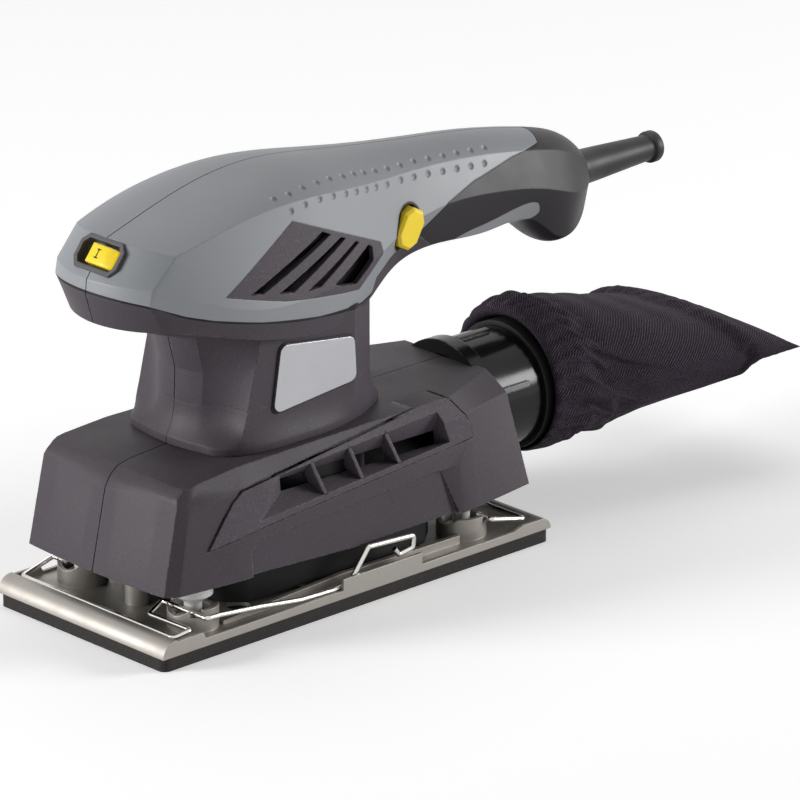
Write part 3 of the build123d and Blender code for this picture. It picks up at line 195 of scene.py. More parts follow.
class Plan:
    """Lays out the nodes of one material or node group."""

    def __init__(self, tree: Tree) -> None:
        """Starts on a tree."""
        self.tree = tree

    def fill(self, node: bpy.types.Node, inputs: dict[Any, Any]) -> None:
        """Feeds a node's inputs, by name or number, with outputs, or sets them to plain values.

        Args:
            node: the node to feed.
            inputs: socket name or number to a value, or to the output that feeds it.
        """
        for name, value in inputs.items():
            if isinstance(value, Socket):
                self.tree.links.new(value, node.inputs[name])
            else:
                node.inputs[name].default_value = value

    def put(self, kind: str, inputs: dict[Any, Any] | None = None, **settings: Any) -> bpy.types.Node:
        """Adds one node.

        Args:
            kind: the node's type, without its ShaderNode prefix.
            inputs: socket name or number to a value, or to the output that feeds it.
            settings: the node's own properties.

        Returns:
            The new node.
        """
        node = self.tree.nodes.new("ShaderNode" + kind)
        for name, value in settings.items():
            setattr(node, name, value)
        self.fill(node, inputs or {})
        return node

    def use(self, group: Tree, inputs: dict[str, Any]) -> bpy.types.Node:
        """Places a shared node group with its own values."""
        return self.put("Group", inputs, node_tree=group)

    def place(self) -> Socket:
        """The point that is shaded, in the object's own coordinates."""
        return self.put("TexCoord").outputs["Object"]

    def noise(self, scale: Any, detail: float, roughness: float = 0.5, place: Any = None) -> Socket:
        """Noise of a scale, laid on the object or on another place, and its output.

        Args:
            scale: how fine it is.
            detail: how many finer layers it has.
            roughness: how strong the finer layers are.
            place: where it is laid; None stands for the object's own coordinates.

        Returns:
            The noise's output.
        """
        place = self.place() if place is None else place
        inputs = {"Vector": place, "Scale": scale, "Detail": detail, "Roughness": roughness}
        return self.put("TexNoise", inputs).outputs[0]

    def rounded(self, reach: Any) -> Socket:
        """The surface's direction with its edges rounded off."""
        return self.put("Bevel", {"Radius": reach}, samples=4).outputs[0]

    def bumped(self, height: Any, depth: float, reach: float) -> Socket:
        """The surface's direction with rounded edges and a raised grain."""
        inputs = {"Height": height, "Distance": depth, "Normal": self.rounded(reach)}
        return self.put("Bump", inputs).outputs[0]

    def maths(self, operation: str, first: Any, second: Any = 0.5, clamp: bool = False) -> Socket:
        """One sum on two values or outputs, and its output."""
        return self.put("Math", {0: first, 1: second}, operation=operation, use_clamp=clamp).outputs[0]

    def times(self, first: Any, second: Any, clamp: bool = False) -> Socket:
        """The product of two values or outputs, and its output."""
        return self.maths("MULTIPLY", first, second, clamp)

    def blend(self, mask: Any, low: Any, high: Any) -> Socket:
        """Goes from the colour low to the colour high by a mask, and gives the output."""
        return self.put("Mix", {0: mask, 6: low, 7: high}, data_type="RGBA").outputs[2]

    def spread(self, value: Any, low: float, high: float, to_low: float = 0, to_high: float = 1) -> Any:
        """Maps low..high to to_low..to_high, held at both ends, and gives the output."""
        inputs = {"Value": value, "From Min": low, "From Max": high, "To Min": to_low, "To Max": to_high}
        return self.put("MapRange", inputs).outputs[0]

    def over_line(self, line: Line, ease: float = 0.1) -> Socket:
        """How far a point lies above a side-view line, as a mask.

        Args:
            line: points (x, z) of the line in millimetres, in rising x; outside them nothing lies above it.
            ease: the height in millimetres over which the mask rises.

        Returns:
            The output: 0 below the line and 1 above it.
        """
        part = self.put("SeparateXYZ", {0: self.place()})
        low_x, high_x = line[0][0], line[-1][0]
        margin = 1
        low_z, high_z = min(z for _, z in line) - margin, max(z for _, z in line) + margin
        graph = self.put("FloatCurve", {"Value": self.spread(part.outputs[0], low_x * MM, high_x * MM)})
        curve = graph.mapping.curves[0]
        for index, (x, z) in enumerate(line):
            spot = ((x - low_x) / (high_x - low_x), (z - low_z) / (high_z - low_z))
            if index in (0, len(line) - 1):
                curve.points[0 if index == 0 else -1].location = spot
            else:
                curve.points.new(*spot)
        for point in curve.points:
            point.handle_type = "AUTO_CLAMPED"
        graph.mapping.update()
        edge = self.spread(graph.outputs[0], 0, 1, low_z * MM, high_z * MM)
        above = self.maths("SUBTRACT", part.outputs[2], edge)
        mask = self.spread(above, -ease / 2 * MM, ease / 2 * MM)
        inside = self.maths("GREATER_THAN", part.outputs[0], low_x * MM)
        inside = self.times(inside, self.maths("LESS_THAN", part.outputs[0], high_x * MM))
        return self.times(mask, inside)


def new_group(
    name: str, inputs: dict[str, float], outputs: Sequence[str],
) -> tuple[Plan, Any, bpy.types.Node]:
    """Starts a shared node group of plain values.

    Args:
        name: the group's name.
        inputs: input names with their usual values.
        outputs: output names.

    Returns:
        The plan of its tree, the sockets that give its inputs, and its output node.
    """
    tree = bpy.data.node_groups.new(name, "ShaderNodeTree")
    for key, value in inputs.items():
        tree.interface.new_socket(key, in_out="INPUT", socket_type="NodeSocketFloat").default_value = value
    for key in outputs:
        tree.interface.new_socket(key, in_out="OUTPUT", socket_type="NodeSocketFloat")
    return Plan(tree), tree.nodes.new("NodeGroupInput").outputs, tree.nodes.new("NodeGroupOutput")


# ---- shared effects
@functools.cache
def grain_group() -> Tree:
    """Spark-eroded or cast grain: fine pits over a slow unevenness.

    Returns:
        The node group.
    """
    outputs = ("Height", "Specks", "Clouds")
    plan, given, result = new_group("surface_grain", {"Scale": 1500, "Cloudiness": 40}, outputs)
    fine = plan.noise(given[0], 3, 0.6)
    slow = plan.noise(given[1], 4, 0.55)
    speck_from, speck_full = 0.54, 0.68
    cloud_from, cloud_full = 0.3, 0.7
    specks = plan.spread(fine, speck_from, speck_full)
    plan.fill(result, {"Height": fine, "Specks": specks, "Clouds": plan.spread(slow, cloud_from, cloud_full)})
    return plan.tree


@functools.cache
def wear_and_highlight_group() -> Tree:
    """Wear and a painted edge highlight along edges: a mask where the surface turns sharply outwards, broken
    up by specks.

    Returns:
        The node group.
    """
    plan, given, result = new_group("edge_wear_and_highlight", {"Reach": 0.0008, "Breakup": 900}, ("Mask",))
    flat = plan.put("NewGeometry").outputs["Normal"]
    inputs = {0: plan.rounded(given[0]), 1: flat}
    turn = plan.put("VectorMath", inputs, operation="DOT_PRODUCT").outputs["Value"]
    flat_turn, edge_turn = 0.995, 0.86
    edge_speckle_from, edge_speckle_full = 0.44, 0.62
    edge_speckles = plan.spread(plan.noise(given[1], 3), edge_speckle_from, edge_speckle_full)
    edge = plan.spread(turn, flat_turn, edge_turn)
    plan.fill(result, {"Mask": plan.times(edge, edge_speckles, clamp=True)})
    return plan.tree


@functools.cache
def dust_group() -> Tree:
    """Fine dust that has settled on what faces upwards.

    Returns:
        The node group.
    """
    plan, given, result = new_group("settled_dust", {"Amount": 0.1, "Scale": 60}, ("Mask",))
    up = plan.put("SeparateXYZ", {0: plan.put("NewGeometry").outputs["Normal"]}).outputs[2]
    slope_from, drift_from, drift_full = 0.2, 0.35, 0.75
    drift = plan.spread(plan.noise(given[1], 6, 0.7), drift_from, drift_full)
    lying = plan.times(plan.spread(up, slope_from, 1), drift)
    plan.fill(result, {"Mask": plan.times(lying, given[0], clamp=True)})
    return plan.tree


@functools.cache
def parting_group() -> Tree:
    """The parting line of two shell halves, where they meet on the middle plane.

    Returns:
        The node group.
    """
    plan, given, result = new_group("parting_line", {"Width": 0.0004}, ("Mask",))
    across = plan.put("SeparateXYZ", {0: plan.place()}).outputs[1]
    away = plan.maths("DIVIDE", plan.maths("ABSOLUTE", across), given[0])
    outer_edge, inner_edge = 1.1, 0.6
    plan.fill(result, {"Mask": plan.spread(away, outer_edge, inner_edge)})
    return plan.tree


@functools.cache
def twill_group() -> Tree:
    """Twill weave laid on the piece's own cloth map: slanting ribs cut by the weft, and a mask of the raised
    ribs for a painted highlight.

    Returns:
        The node group.
    """
    plan, given, result = new_group("twill_weave", {"Threads": 700}, ("Height", "Rib", "Slub"))
    place = plan.put("UVMap", uv_map="cloth").outputs[0]
    part = plan.put("SeparateXYZ", {0: place})
    lean, weft_share, weft_raise, slub_scale = 0.9, 2.0, 0.16, 900.0
    raised_from, lit_from = -0.6, 0.1
    slant = plan.maths("ADD", part.outputs[0], plan.times(part.outputs[1], lean))
    rib = plan.maths("SINE", plan.times(slant, given[0]), 0)
    finer = plan.times(given[0], weft_share)
    weft = plan.maths("SINE", plan.times(part.outputs[1], finer), 0)
    height = plan.maths("ADD", plan.spread(rib, raised_from, 1), plan.times(weft, weft_raise))
    slub = plan.noise(slub_scale, 3, place=place)
    plan.fill(result, {"Height": height, "Rib": plan.spread(rib, lit_from, 1), "Slub": slub})
    return plan.tree


# ---- finishes
def new_material(name: str) -> tuple[bpy.types.Material, Plan, bpy.types.Node]:
    """Starts a material.

    Args:
        name: the material's name.

    Returns:
        The material, its plan and its shader.
    """
    made = bpy.data.materials.new(name)
    made.use_nodes = True
    return made, Plan(made.node_tree), made.node_tree.nodes["Principled BSDF"]


@dataclass(frozen=True)
class Moulded:
    """Moulded plastic or rubber, with its grain in micrometres, its worn edges with a painted edge highlight,
    and a little dust.
    """

    name: str
    slot: str
    colour: Colour
    roughness: float
    grain: float = 20
    grain_scale: float = 1500
    speck: float = 0.06
    worn_and_lit: Colour = (150, 150, 150)
    wear: float = 0.25
    reach: float = 0.0007
    dust: float = 0.04
    coat: float = 0.0
    clouds: float = 0.05
    specular: float = 0.5
    parting: float = 0.0
    # shadow_line: above this side-view line the surface gets a painted shadow, the shade under an overlapping
    # edge
    shadow_line: Outline = ()
    inlay_over: Outline = ()
    inlay_under: Outline = ()
    inlay: Colour = (0, 0, 0)
    shadow: Colour = (12, 11, 12)

    @functools.cache
    def material(self) -> bpy.types.Material:
        """Builds the finish once.

        Returns:
            The material.
        """
        made, plan, shader = new_material(self.name)
        grain = plan.use(grain_group(), {"Scale": self.grain_scale, "Cloudiness": 45})
        clouds = grain.outputs["Clouds"]
        breakup_share, smoother, rougher = 0.6, 0.04, 0.05
        wear = plan.use(wear_and_highlight_group(), {"Reach": self.reach, "Breakup": self.grain_scale * breakup_share})
        dust = plan.use(dust_group(), {"Amount": self.dust})
        base = linear(self.colour)
        pale_factor, pale_lift, speck_strength, cloud_factor = 6, 0.03, 8, 2
        pale = [min(1, c * (1 + pale_factor * self.speck) + pale_lift * self.speck) for c in base[:3]]
        deep = [c * (1 - self.clouds * cloud_factor) for c in base[:3]]
        specks = plan.times(grain.outputs["Specks"], min(1, self.speck * speck_strength))
        body = plan.blend(clouds, (*deep, 1), base)
        body = plan.blend(specks, body, (*pale, 1))
        # painted edge highlight: the edges are coloured lighter, partly for wear and partly for the highlight
        # that edges catch
        body = plan.blend(plan.times(wear.outputs["Mask"], self.wear), body, linear(self.worn_and_lit))
        if self.inlay_over:
            under = plan.maths("SUBTRACT", 1, plan.over_line(self.inlay_over))
            inside = plan.times(under, plan.over_line(self.inlay_under))
            body = plan.blend(inside, body, linear(self.inlay))
        body = plan.blend(dust.outputs["Mask"], body, linear(DUST_COLOUR))
        # painted shadow: a dark strip above the line, for the shade under the overlapping grey edge
        if self.shadow_line:
            body = plan.blend(plan.over_line(self.shadow_line), body, linear(self.shadow))
        if self.parting:
            seam = plan.use(parting_group(), {"Width": self.parting * MM})
            body = plan.blend(seam.outputs["Mask"], body, linear(self.shadow))
        plan.fill(shader, {
            "Base Color": body,
            "Roughness": plan.spread(clouds, 0, 1, self.roughness - smoother, self.roughness + rougher),
            "Normal": plan.bumped(grain.outputs["Height"], self.grain * MICRON, self.reach),
            "Coat Weight": self.coat, "Coat Roughness": 0.12, "Specular IOR Level": self.specular,
        })
        return made


@dataclass(frozen=True)
class Metal:
    """Cast, drawn or polished metal, with its grain in micrometres."""

    name: str
    slot: str
    colour: Colour
    roughness: float
    metallic: float = 1.0
    grain: float = 30
    grain_scale: float = 1200
    stain: Colour = (120, 108, 96)
    stain_amount: float = 0.25
    streak: float = 0.0
    streak_scale: float = 2600
    draw: Place = (0.02, 1, 1)
    reach: float = 0.0004

    @functools.cache
    def material(self) -> bpy.types.Material:
        """Builds the finish once.

        Returns:
            The material.
        """
        made, plan, shader = new_material(self.name)
        grain = plan.use(grain_group(), {"Scale": self.grain_scale, "Cloudiness": 55})
        clouds = grain.outputs["Clouds"]
        rougher, smoother = 0.1, 0.05
        dull = plan.times(plan.maths("SUBTRACT", 1, clouds), self.stain_amount)
        body = plan.blend(dull, linear(self.colour), linear(self.stain))
        height = grain.outputs["Height"]
        if self.streak:
            drawn = plan.put("Mapping", {0: plan.place(), "Scale": self.draw})
            height = plan.noise(self.streak_scale, 2, place=drawn.outputs[0])
            body = plan.blend(plan.times(height, self.streak), body, linear(self.stain))
        plan.fill(shader, {
            "Base Color": body,
            "Roughness": plan.spread(clouds, 0, 1, self.roughness + rougher, self.roughness - smoother),
            "Normal": plan.bumped(height, self.grain * MICRON, self.reach), "Metallic": self.metallic,
        })
        return made


@dataclass(frozen=True)
class Twill:
    """Black bag cloth with a purple cast, woven on the slant, with a painted highlight on its raised ribs."""

    name: str = "bag_twill"
    slot: str = "cloth"
    colour: Colour = (28, 23, 29)
    # rib: the lighter colour of the painted highlight on the raised ribs
    rib: Colour = (92, 78, 96)
    faded: Colour = (22, 20, 24)
    fade: float = 0.35
    threads: float = 4600
    raise_by: float = 0.00016

    @functools.cache
    def material(self) -> bpy.types.Material:
        """Builds the finish once.

        Returns:
            The material.
        """
        made, plan, shader = new_material(self.name)
        weave = plan.use(twill_group(), {"Threads": self.threads})
        grain = plan.use(grain_group(), {"Scale": 900, "Cloudiness": 38})
        slub_from, slub_full = 0.3, 0.6
        # painted highlight: the raised ribs are coloured lighter, broken up by the slubs
        lit = plan.times(weave.outputs["Rib"], plan.spread(weave.outputs["Slub"], slub_from, slub_full))
        body = plan.blend(lit, linear(self.colour), linear(self.rib))
        faded = plan.spread(grain.outputs["Clouds"], 0, 1, self.fade, 0)
        raised = {"Height": weave.outputs["Height"], "Distance": self.raise_by, "Strength": 0.8}
        plan.fill(shader, {
            "Base Color": plan.blend(faded, body, linear(self.faded)),
            "Normal": plan.put("Bump", raised).outputs[0], "Roughness": 0.85, "Specular IOR Level": 0.15,
        })
        return made


# Parting lines in side view (x, z), a little below the edges that overlap them; above each, a painted shadow
# stands for the shade under the overlapping edge.
DARK_EDGE = (
    (-92, 129.9), (-82.9, 128.2), (-69, 122.3), (-58, 118.9), (-38, 114.3), (-8, 108.8), (17.6, 106.2),
    (26, 107.3), (27.5, 113), (37, 117.3), (45.6, 119.3), (56, 120.5),
)
GRIP_EDGE = (
    (54, 120.6), (58, 124), (68, 130.7), (82.5, 135.2), (104.7, 139), (119.6, 140.2), (121.5, 141.2),
    (126, 145.2),
)
# The grey strip let into the underside of the grip
INLAY_TOP = (
    (76, 113.6), (84.8, 115.7), (92.6, 116.8), (100, 118.2), (107.4, 119.7), (113, 120.4), (116, 119.9),
    (118, 118.2), (118.9, 115.6),
)
INLAY_LOW = ((76, 90), (110, 90), (111.5, 111.5), (113, 112.9), (116, 113.3), (118, 114.3), (118.9, 115.6))

GREY = Moulded("satin_grey", "grey_shell", (127, 130, 134), 0.42, grain=6, grain_scale=2200, speck=0.01,
               worn_and_lit=(176, 179, 181), clouds=0.012, dust=0.015, parting=0.22, shadow=(62, 62, 65))
DARK = Moulded("spark_black", "dark_shell", (64, 58, 64), 0.5, grain=80, grain_scale=1350, speck=0.07,
               worn_and_lit=(150, 145, 150), wear=0.5, specular=0.2, parting=0.3, shadow_line=DARK_EDGE)
PANEL = Moulded("panel_black", "dark_shell", (73, 67, 73), 0.55, grain=100, grain_scale=1250, speck=0.1,
                worn_and_lit=(150, 146, 150), wear=0.5, specular=0.2)
GRIP = Moulded("soft_grip", "soft_grip", (38, 35, 38), 0.42, grain=10, grain_scale=2600, speck=0.03,
               worn_and_lit=(110, 108, 110), wear=0.15, specular=0.26, shadow_line=GRIP_EDGE, inlay_over=INLAY_TOP,
               inlay_under=INLAY_LOW, inlay=(128, 130, 133))
BEZEL = Moulded("switch_frame_black", "black_matte", (66, 64, 67), 0.5, speck=0.05, wear=0.3)
INNER = Moulded("inner_black", "black_matte", (11, 10, 11), 0.5, speck=0.04, wear=0.1, specular=0.25)
GLOSS = Moulded("gloss_black", "black_gloss", (17, 16, 17), 0.17, grain=2, speck=0, wear=0.1, dust=0.01,
                specular=0.25)
INK = Moulded("mark_ink", "black_matte", (24, 20, 16), 0.6, speck=0, wear=0, dust=0)
YELLOW = Moulded("switch_yellow", "yellow", (244, 212, 30), 0.3, grain=4, speck=0, worn_and_lit=(250, 230, 110),
                 dust=0.01, clouds=0.03)
FOAM = Moulded("sole_foam", "sole_foam", (40, 36, 36), 0.8, grain=90, grain_scale=1100, speck=0.1, wear=0.1,
               specular=0.3)
RUBBER = Moulded("leg_rubber", "leg_rubber", (206, 206, 204), 0.3, grain=10, speck=0.02, wear=0.1, coat=0.2)
CARBON = Moulded("brush_carbon", "carbon", (34, 34, 36), 0.6, speck=0.1)
CAST = Metal("cast_aluminium", "cast_aluminium", (160, 156, 151), 0.5, metallic=0.9, grain_scale=1300)
PLATE_SILVER = Metal("badge_silver", "badge_silver", (178, 178, 182), 0.3, streak=0.25, stain=(150, 150, 152),
                     stain_amount=0.1)
WIRE = Metal("drawn_wire", "wire", (222, 220, 215), 0.16, grain=4)
STEEL = Metal("bright_steel", "steel", (190, 190, 192), 0.24, grain=6)
LAMINATED = Metal("lamination_steel", "laminations", (120, 120, 124), 0.4, streak=0.4, stain=(60, 60, 64))
COPPER = Metal("enamelled_copper", "copper", (196, 110, 62), 0.3, grain_scale=2400, stain=(120, 60, 30))

SLOT_FINISHES: dict[str, Moulded | Metal] = {finish.slot: finish for finish in (
    GREY, DARK, GRIP, GLOSS, INNER, YELLOW, FOAM, RUBBER, CARBON, CAST, PLATE_SILVER, WIRE, STEEL,
    LAMINATED, COPPER,
)}
NODE_FINISHES: dict[str, Moulded | Metal] = {
    "vent_grille_left": PANEL, "vent_grille_right": PANEL, "switch_bezel": BEZEL,
}


# ---- shared mesh work
def linked(name: str, data: Any) -> bpy.types.Object:
    """A new object in the scene.

    Args:
        name: the object's name.
        data: its mesh, lamp or camera.

    Returns:
        The new object.
    """
    made = bpy.data.objects.new(name, data)
    bpy.context.scene.collection.objects.link(made)
    return made


def as_data(name: str, mesh: Mesh) -> bpy.types.Mesh:
    """The mesh as Blender's own data; the bmesh is freed.

    Args:
        name: the data's name.
        mesh: the mesh.

    Returns:
        Blender's own mesh.
    """
    data = bpy.data.meshes.new(name)
    mesh.to_mesh(data)
    mesh.free()
    return data


def closed(mesh: Mesh) -> Mesh:
    """The same mesh, with its faces turned outwards."""
    bmesh.ops.recalc_face_normals(mesh, faces=mesh.faces)
    return mesh


def merged(mesh: Mesh, near: float = MERGE) -> Mesh:
    """The same mesh, with points that lie nearer than this merged."""
    bmesh.ops.remove_doubles(mesh, verts=mesh.verts, dist=near)
    return mesh


def new_points(grown: dict[str, list[Any]]) -> list[bmesh.types.BMVert]:
    """The points that a bmesh operator has made."""
    return [item for item in grown["geom"] if isinstance(item, bmesh.types.BMVert)]


def carried_mesh(node: str) -> Mesh:
    """A copy of a CAD node's mesh with its split corners merged.

    Args:
        node: the CAD node's name.

    Returns:
        The copy.
    """
    mesh = bmesh.new()
    mesh.from_mesh(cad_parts[node].data)
    return merged(mesh, 2 * MERGE)


def cut_by(mesh: Mesh, tool: Mesh) -> Mesh:
    """Cuts one closed mesh out of another.

    Args:
        mesh: what is cut, which is freed.
        tool: what is cut away, which is freed.

    Returns:
        The cut mesh.
    """
    body, cutter = (linked(label, as_data(label, part)) for label, part in (("body", mesh), ("tool", tool)))
    difference = body.modifiers.new("cut", "BOOLEAN")
    difference.operation = "DIFFERENCE"
    difference.solver = "EXACT"
    difference.object = cutter
    made = bmesh.new()
    shaped = body.evaluated_get(bpy.context.evaluated_depsgraph_get())
    made.from_mesh(shaped.to_mesh())
    shaped.to_mesh_clear()
    for holder in (body, cutter):
        data = holder.data
        bpy.data.objects.remove(holder)
        bpy.data.meshes.remove(data)
    return merged(made)


def split(mesh: Mesh, at: Place, across: Place) -> None:
    """Adds edges where the plane through a point in millimetres crosses the mesh."""
    everything = [*mesh.verts, *mesh.edges, *mesh.faces]
    bmesh.ops.bisect_plane(mesh, geom=everything, dist=MERGE / 10, plane_co=Vector(at) * MM, plane_no=across)


def drawn_out(mesh: Mesh, lift: Place) -> Mesh:
    """Makes a closed solid of a flat sheet, drawn out by lift in millimetres.

    Args:
        mesh: the sheet.
        lift: how far it is drawn, along x, y and z.

    Returns:
        The closed solid.
    """
    moved = new_points(bmesh.ops.extrude_face_region(mesh, geom=mesh.faces[:]))
    bmesh.ops.translate(mesh, verts=moved, vec=Vector(lift) * MM)
    return closed(mesh)


def sheet(corners: Sequence[Place]) -> Mesh:
    """A flat sheet between corners in millimetres.

    Args:
        corners: its corners, in order.

    Returns:
        The sheet.
    """
    mesh = bmesh.new()
    bmesh.ops.contextual_create(mesh, geom=[mesh.verts.new(Vector(corner) * MM) for corner in corners])
    return mesh


def plate(outline: Line, low_y: float, high_y: float) -> Mesh:
    """A closed flat plate with an outline (x, z) in side view and faces at two places y, in millimetres."""
    return drawn_out(sheet([(x, low_y, z) for x, z in outline]), (0, high_y - low_y, 0))


def walled(mesh: Mesh, outermost: Callable[[bmesh.types.BMFace], float], side: int, wall: float) -> Mesh:
    """Gives a sheet a wall on its inner side.

    Args:
        mesh: the sheet.
        outermost: is highest for a face that should look outwards.
        side: 1 where outwards is +Y, and -1 where it is -Y.
        wall: how thick the wall is, in millimetres.

    Returns:
        The closed wall.
    """
    closed(merged(mesh))
    if max(mesh.faces, key=outermost).normal.y * side < 0:
        bmesh.ops.reverse_faces(mesh, faces=mesh.faces)
    bmesh.ops.solidify(mesh, geom=mesh.faces[:], thickness=wall * MM)
    return closed(mesh)


def soften(mesh: Mesh, edges: list[bmesh.types.BMEdge], radius: float, segments: int) -> None:
    """Rounds edges off by a radius in millimetres."""
    bmesh.ops.bevel(mesh, geom=edges, offset=radius * MM, affect="EDGES", segments=segments, profile=0.5,
                    material=-1)


def joined(*parts: Mesh) -> Mesh:
    """Several meshes in one; the parts are freed.

    Args:
        parts: the meshes.

    Returns:
        The joined mesh.
    """
    whole = bmesh.new()
    for part in parts:
        data = as_data("part", part)
        whole.from_mesh(data)
        bpy.data.meshes.remove(data)
    return whole


def finished(
    name: str, mesh: Mesh, finish: Any, smooth: float = 35, node: str = "", body: str = "housing",
) -> bpy.types.Object:
    """Turns a bmesh into a piece that rides on a body.

    Args:
        name: the piece's name.
        mesh: its mesh, which is freed.
        finish: its finish.
        smooth: edges that turn less than this many degrees shade smoothly.
        node: the CAD node it replaces, if any.
        body: the body it rides on.

    Returns:
        The new object.
    """
    for face in mesh.faces:
        face.smooth = True
    for edge in mesh.edges:
        edge.smooth = len(edge.link_faces) != 2 or edge.calc_face_angle(0) < math.radians(smooth)
    piece = linked(name, as_data(name, mesh))
    piece.data.materials.append(finish.material())
    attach(piece, body)
    if node:
        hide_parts(node)
    log.info("%s: %d faces, on %s", name, len(piece.data.polygons), body)
    return piece


# ---- carried-over parts
class CarriedParts:
    """The parts whose CAD shape is right: each gets the finish of its slot."""

    def dress(self) -> None:
        """Gives every CAD node its finish."""
        for name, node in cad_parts.items():
            for holder in node.material_slots:
                slot = holder.material.name.split(".")[0] if holder.material else ""
                finish = NODE_FINISHES.get(name) or SLOT_FINISHES.get(slot, INNER)
                holder.link = "OBJECT"
                holder.material = finish.material()
        log.info("dressed: %d CAD parts", len(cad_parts))


# ---- housing
@dataclass
class DimpledShells:
    """The grey housing halves with their two rows of grip dimples along the crease."""

    upper: tuple[Place, ...] = (
        (-23.9, 25.3, 154.7), (-16.6, 25.1, 155.1), (-8.7, 23.7, 155.5), (-0.4, 21.9, 155),
        (7.2, 20.3, 154.4), (14.8, 19.3, 153.6), (21.3, 18.1, 153), (26.9, 17.5, 152.1), (33.2, 16.6, 151.2),
        (40.2, 15.6, 150.2), (47.7, 14.5, 149.5), (55.4, 13.5, 149.1), (63.1, 13, 148.3), (70.8, 12.5, 147.4),
        (78.1, 12.1, 146.8), (85.5, 11.8, 146), (92.8, 11.5, 145.3),
    )
    lower: tuple[Place, ...] = (
        (-19.3, 29.1, 150.6), (-12, 28.9, 151.3), (-4.1, 27.4, 151.2), (3.6, 26.1, 150.3),
        (11.1, 24.8, 149.2), (17.5, 23.8, 148.3), (23.8, 22.6, 147.4), (29.8, 21.3, 146.6),
        (36.6, 19.8, 145.7), (44.9, 17.9, 145.1), (52.6, 17.1, 144.4), (60.4, 16.2, 143.7),
        (68.2, 15.5, 142.7), (75.6, 15.1, 142), (82.9, 14.9, 141.3), (90, 14.6, 140.7),
    )
    width: float = 2.8
    depth: float = 0.65
    crease: float = 13.0

    def dents(self, shell: Mesh, side: Side) -> Mesh:
        """The small balls that press the dimples into one half.

        Args:
            shell: the mesh of the half.
            side: which half.

        Returns:
            All the balls in one mesh.
        """
        balls = bmesh.new()
        surface = BVHTree.FromBMesh(shell)
        reach = self.width / 2
        radius = (reach**2 + self.depth**2) / (2 * self.depth)
        for x, y, z in self.upper + self.lower:
            spot, normal, _, _ = surface.find_nearest(Vector((x, side.value * y, z)) * MM)
            place = Matrix.Translation(spot + normal * (radius - self.depth) * MM)
            bmesh.ops.create_icosphere(balls, subdivisions=3, radius=radius * MM, matrix=place)
        return balls

    def build(self) -> None:
        """Cuts the dimples into copies of both halves."""
        for side in Side:
            shell = carried_mesh(f"top_shell_{side.tail}")
            cut = cut_by(shell, self.dents(shell, side))
            finished(f"dimpled_shell_{side.tail}", cut, GREY, self.crease, node=f"top_shell_{side.tail}")


@dataclass
class SlideSwitch:
    """The yellow slider in its recess: a raised thumb pad with its mark, and a lower wing.

    Sizes are in the switch's own frame: across the nose towards the left side, up the slope, and outwards.
    """

    origin: Place = (-83.9, 0.0, 142.3)
    outward: Place = (-0.79, 0.0, 0.61)
    across: Point = (-4.4, 9.3)
    tall: float = 7.6
    floor: float = -3.3
    pad_top: float = 0.9
    wing_top: float = -0.6
    pad_end: float = 4.6
    soften: float = 0.9
    mark_place: Point = (0.2, 0.1)
    mark_size: Point = (2.0, 3.7)
    mark_line: float = 0.55
    mark_rise: float = 0.04
    mark_sink: float = 0.1
    foot_share: float = 0.8

    def frame_matrix(self) -> Matrix:
        """The switch's own frame.

        Returns:
            The matrix from the switch's own frame to the part's.
        """
        out = Vector(self.outward).normalized()
        first = Vector((0, -1, 0))
        second = out.cross(first)
        turn = Matrix((first, second, out)).transposed().to_4x4()
        return Matrix.Translation(Vector(self.origin) * MM) @ turn

    def block(self, low: Sequence[float], high: Sequence[float]) -> Mesh:
        """A box between two corners in millimetres of the switch's frame.

        Args:
            low: the lower corner.
            high: the higher corner.

        Returns:
            The box.
        """
        mesh = bmesh.new()
        size = [(b - a) * MM for a, b in zip(low, high)]
        middle = [(a + b) / 2 * MM for a, b in zip(low, high)]
        bmesh.ops.create_cube(mesh, size=1, matrix=Matrix.Translation(middle) @ Matrix.Diagonal((*size, 1)))
        return mesh

    def slider(self) -> Mesh:
        """The slider: one block whose left end slopes down to a wing.

        Returns:
            The slider, in the switch's frame.
        """
        low, high = self.across
        mesh = self.block((low, -self.tall / 2, self.floor), (high, self.tall / 2, self.pad_top))
        split(mesh, (self.pad_end, 0, 0), (1, 0, 0))
        for vertex in mesh.verts:
            if vertex.co.x > high * MM - MERGE and vertex.co.z > 0:
                vertex.co.z = self.wing_top * MM
        top = [edge for edge in mesh.edges if all(v.co.z > self.wing_top * MM - MERGE for v in edge.verts)]
        soften(mesh, top, self.soften, segments=4)
        return mesh

    def mark(self) -> Mesh:
        """The plain upright stroke with its two feet.

        Returns:
            The mark, in the switch's frame.
        """
        x, y = self.mark_place
        width, height = self.mark_size
        half, foot = self.mark_line / 2, self.mark_line / 2 * self.foot_share
        low, top = self.pad_top - self.mark_sink, self.pad_top + self.mark_rise
        bars = [((x - half, y - height / 2), (x + half, y + height / 2))]
        for end in (-1, 1):
            level = y + end * (height / 2 - half)
            bars.append(((x - width / 2, level - foot), (x + width / 2, level + foot)))
        return joined(*(self.block((*start, low), (*end, top)) for start, end in bars))

    def build(self) -> None:
        """Places the slider and its mark."""
        turn = self.frame_matrix()
        for name, mesh, finish, node in (
            ("switch_slider_grip", self.slider(), YELLOW, "switch_slider"),
            ("switch_mark", self.mark(), INK, ""),
        ):
            bmesh.ops.transform(mesh, matrix=turn, verts=mesh.verts)
            finished(name, closed(mesh), finish, smooth=40, node=node, body="slider")


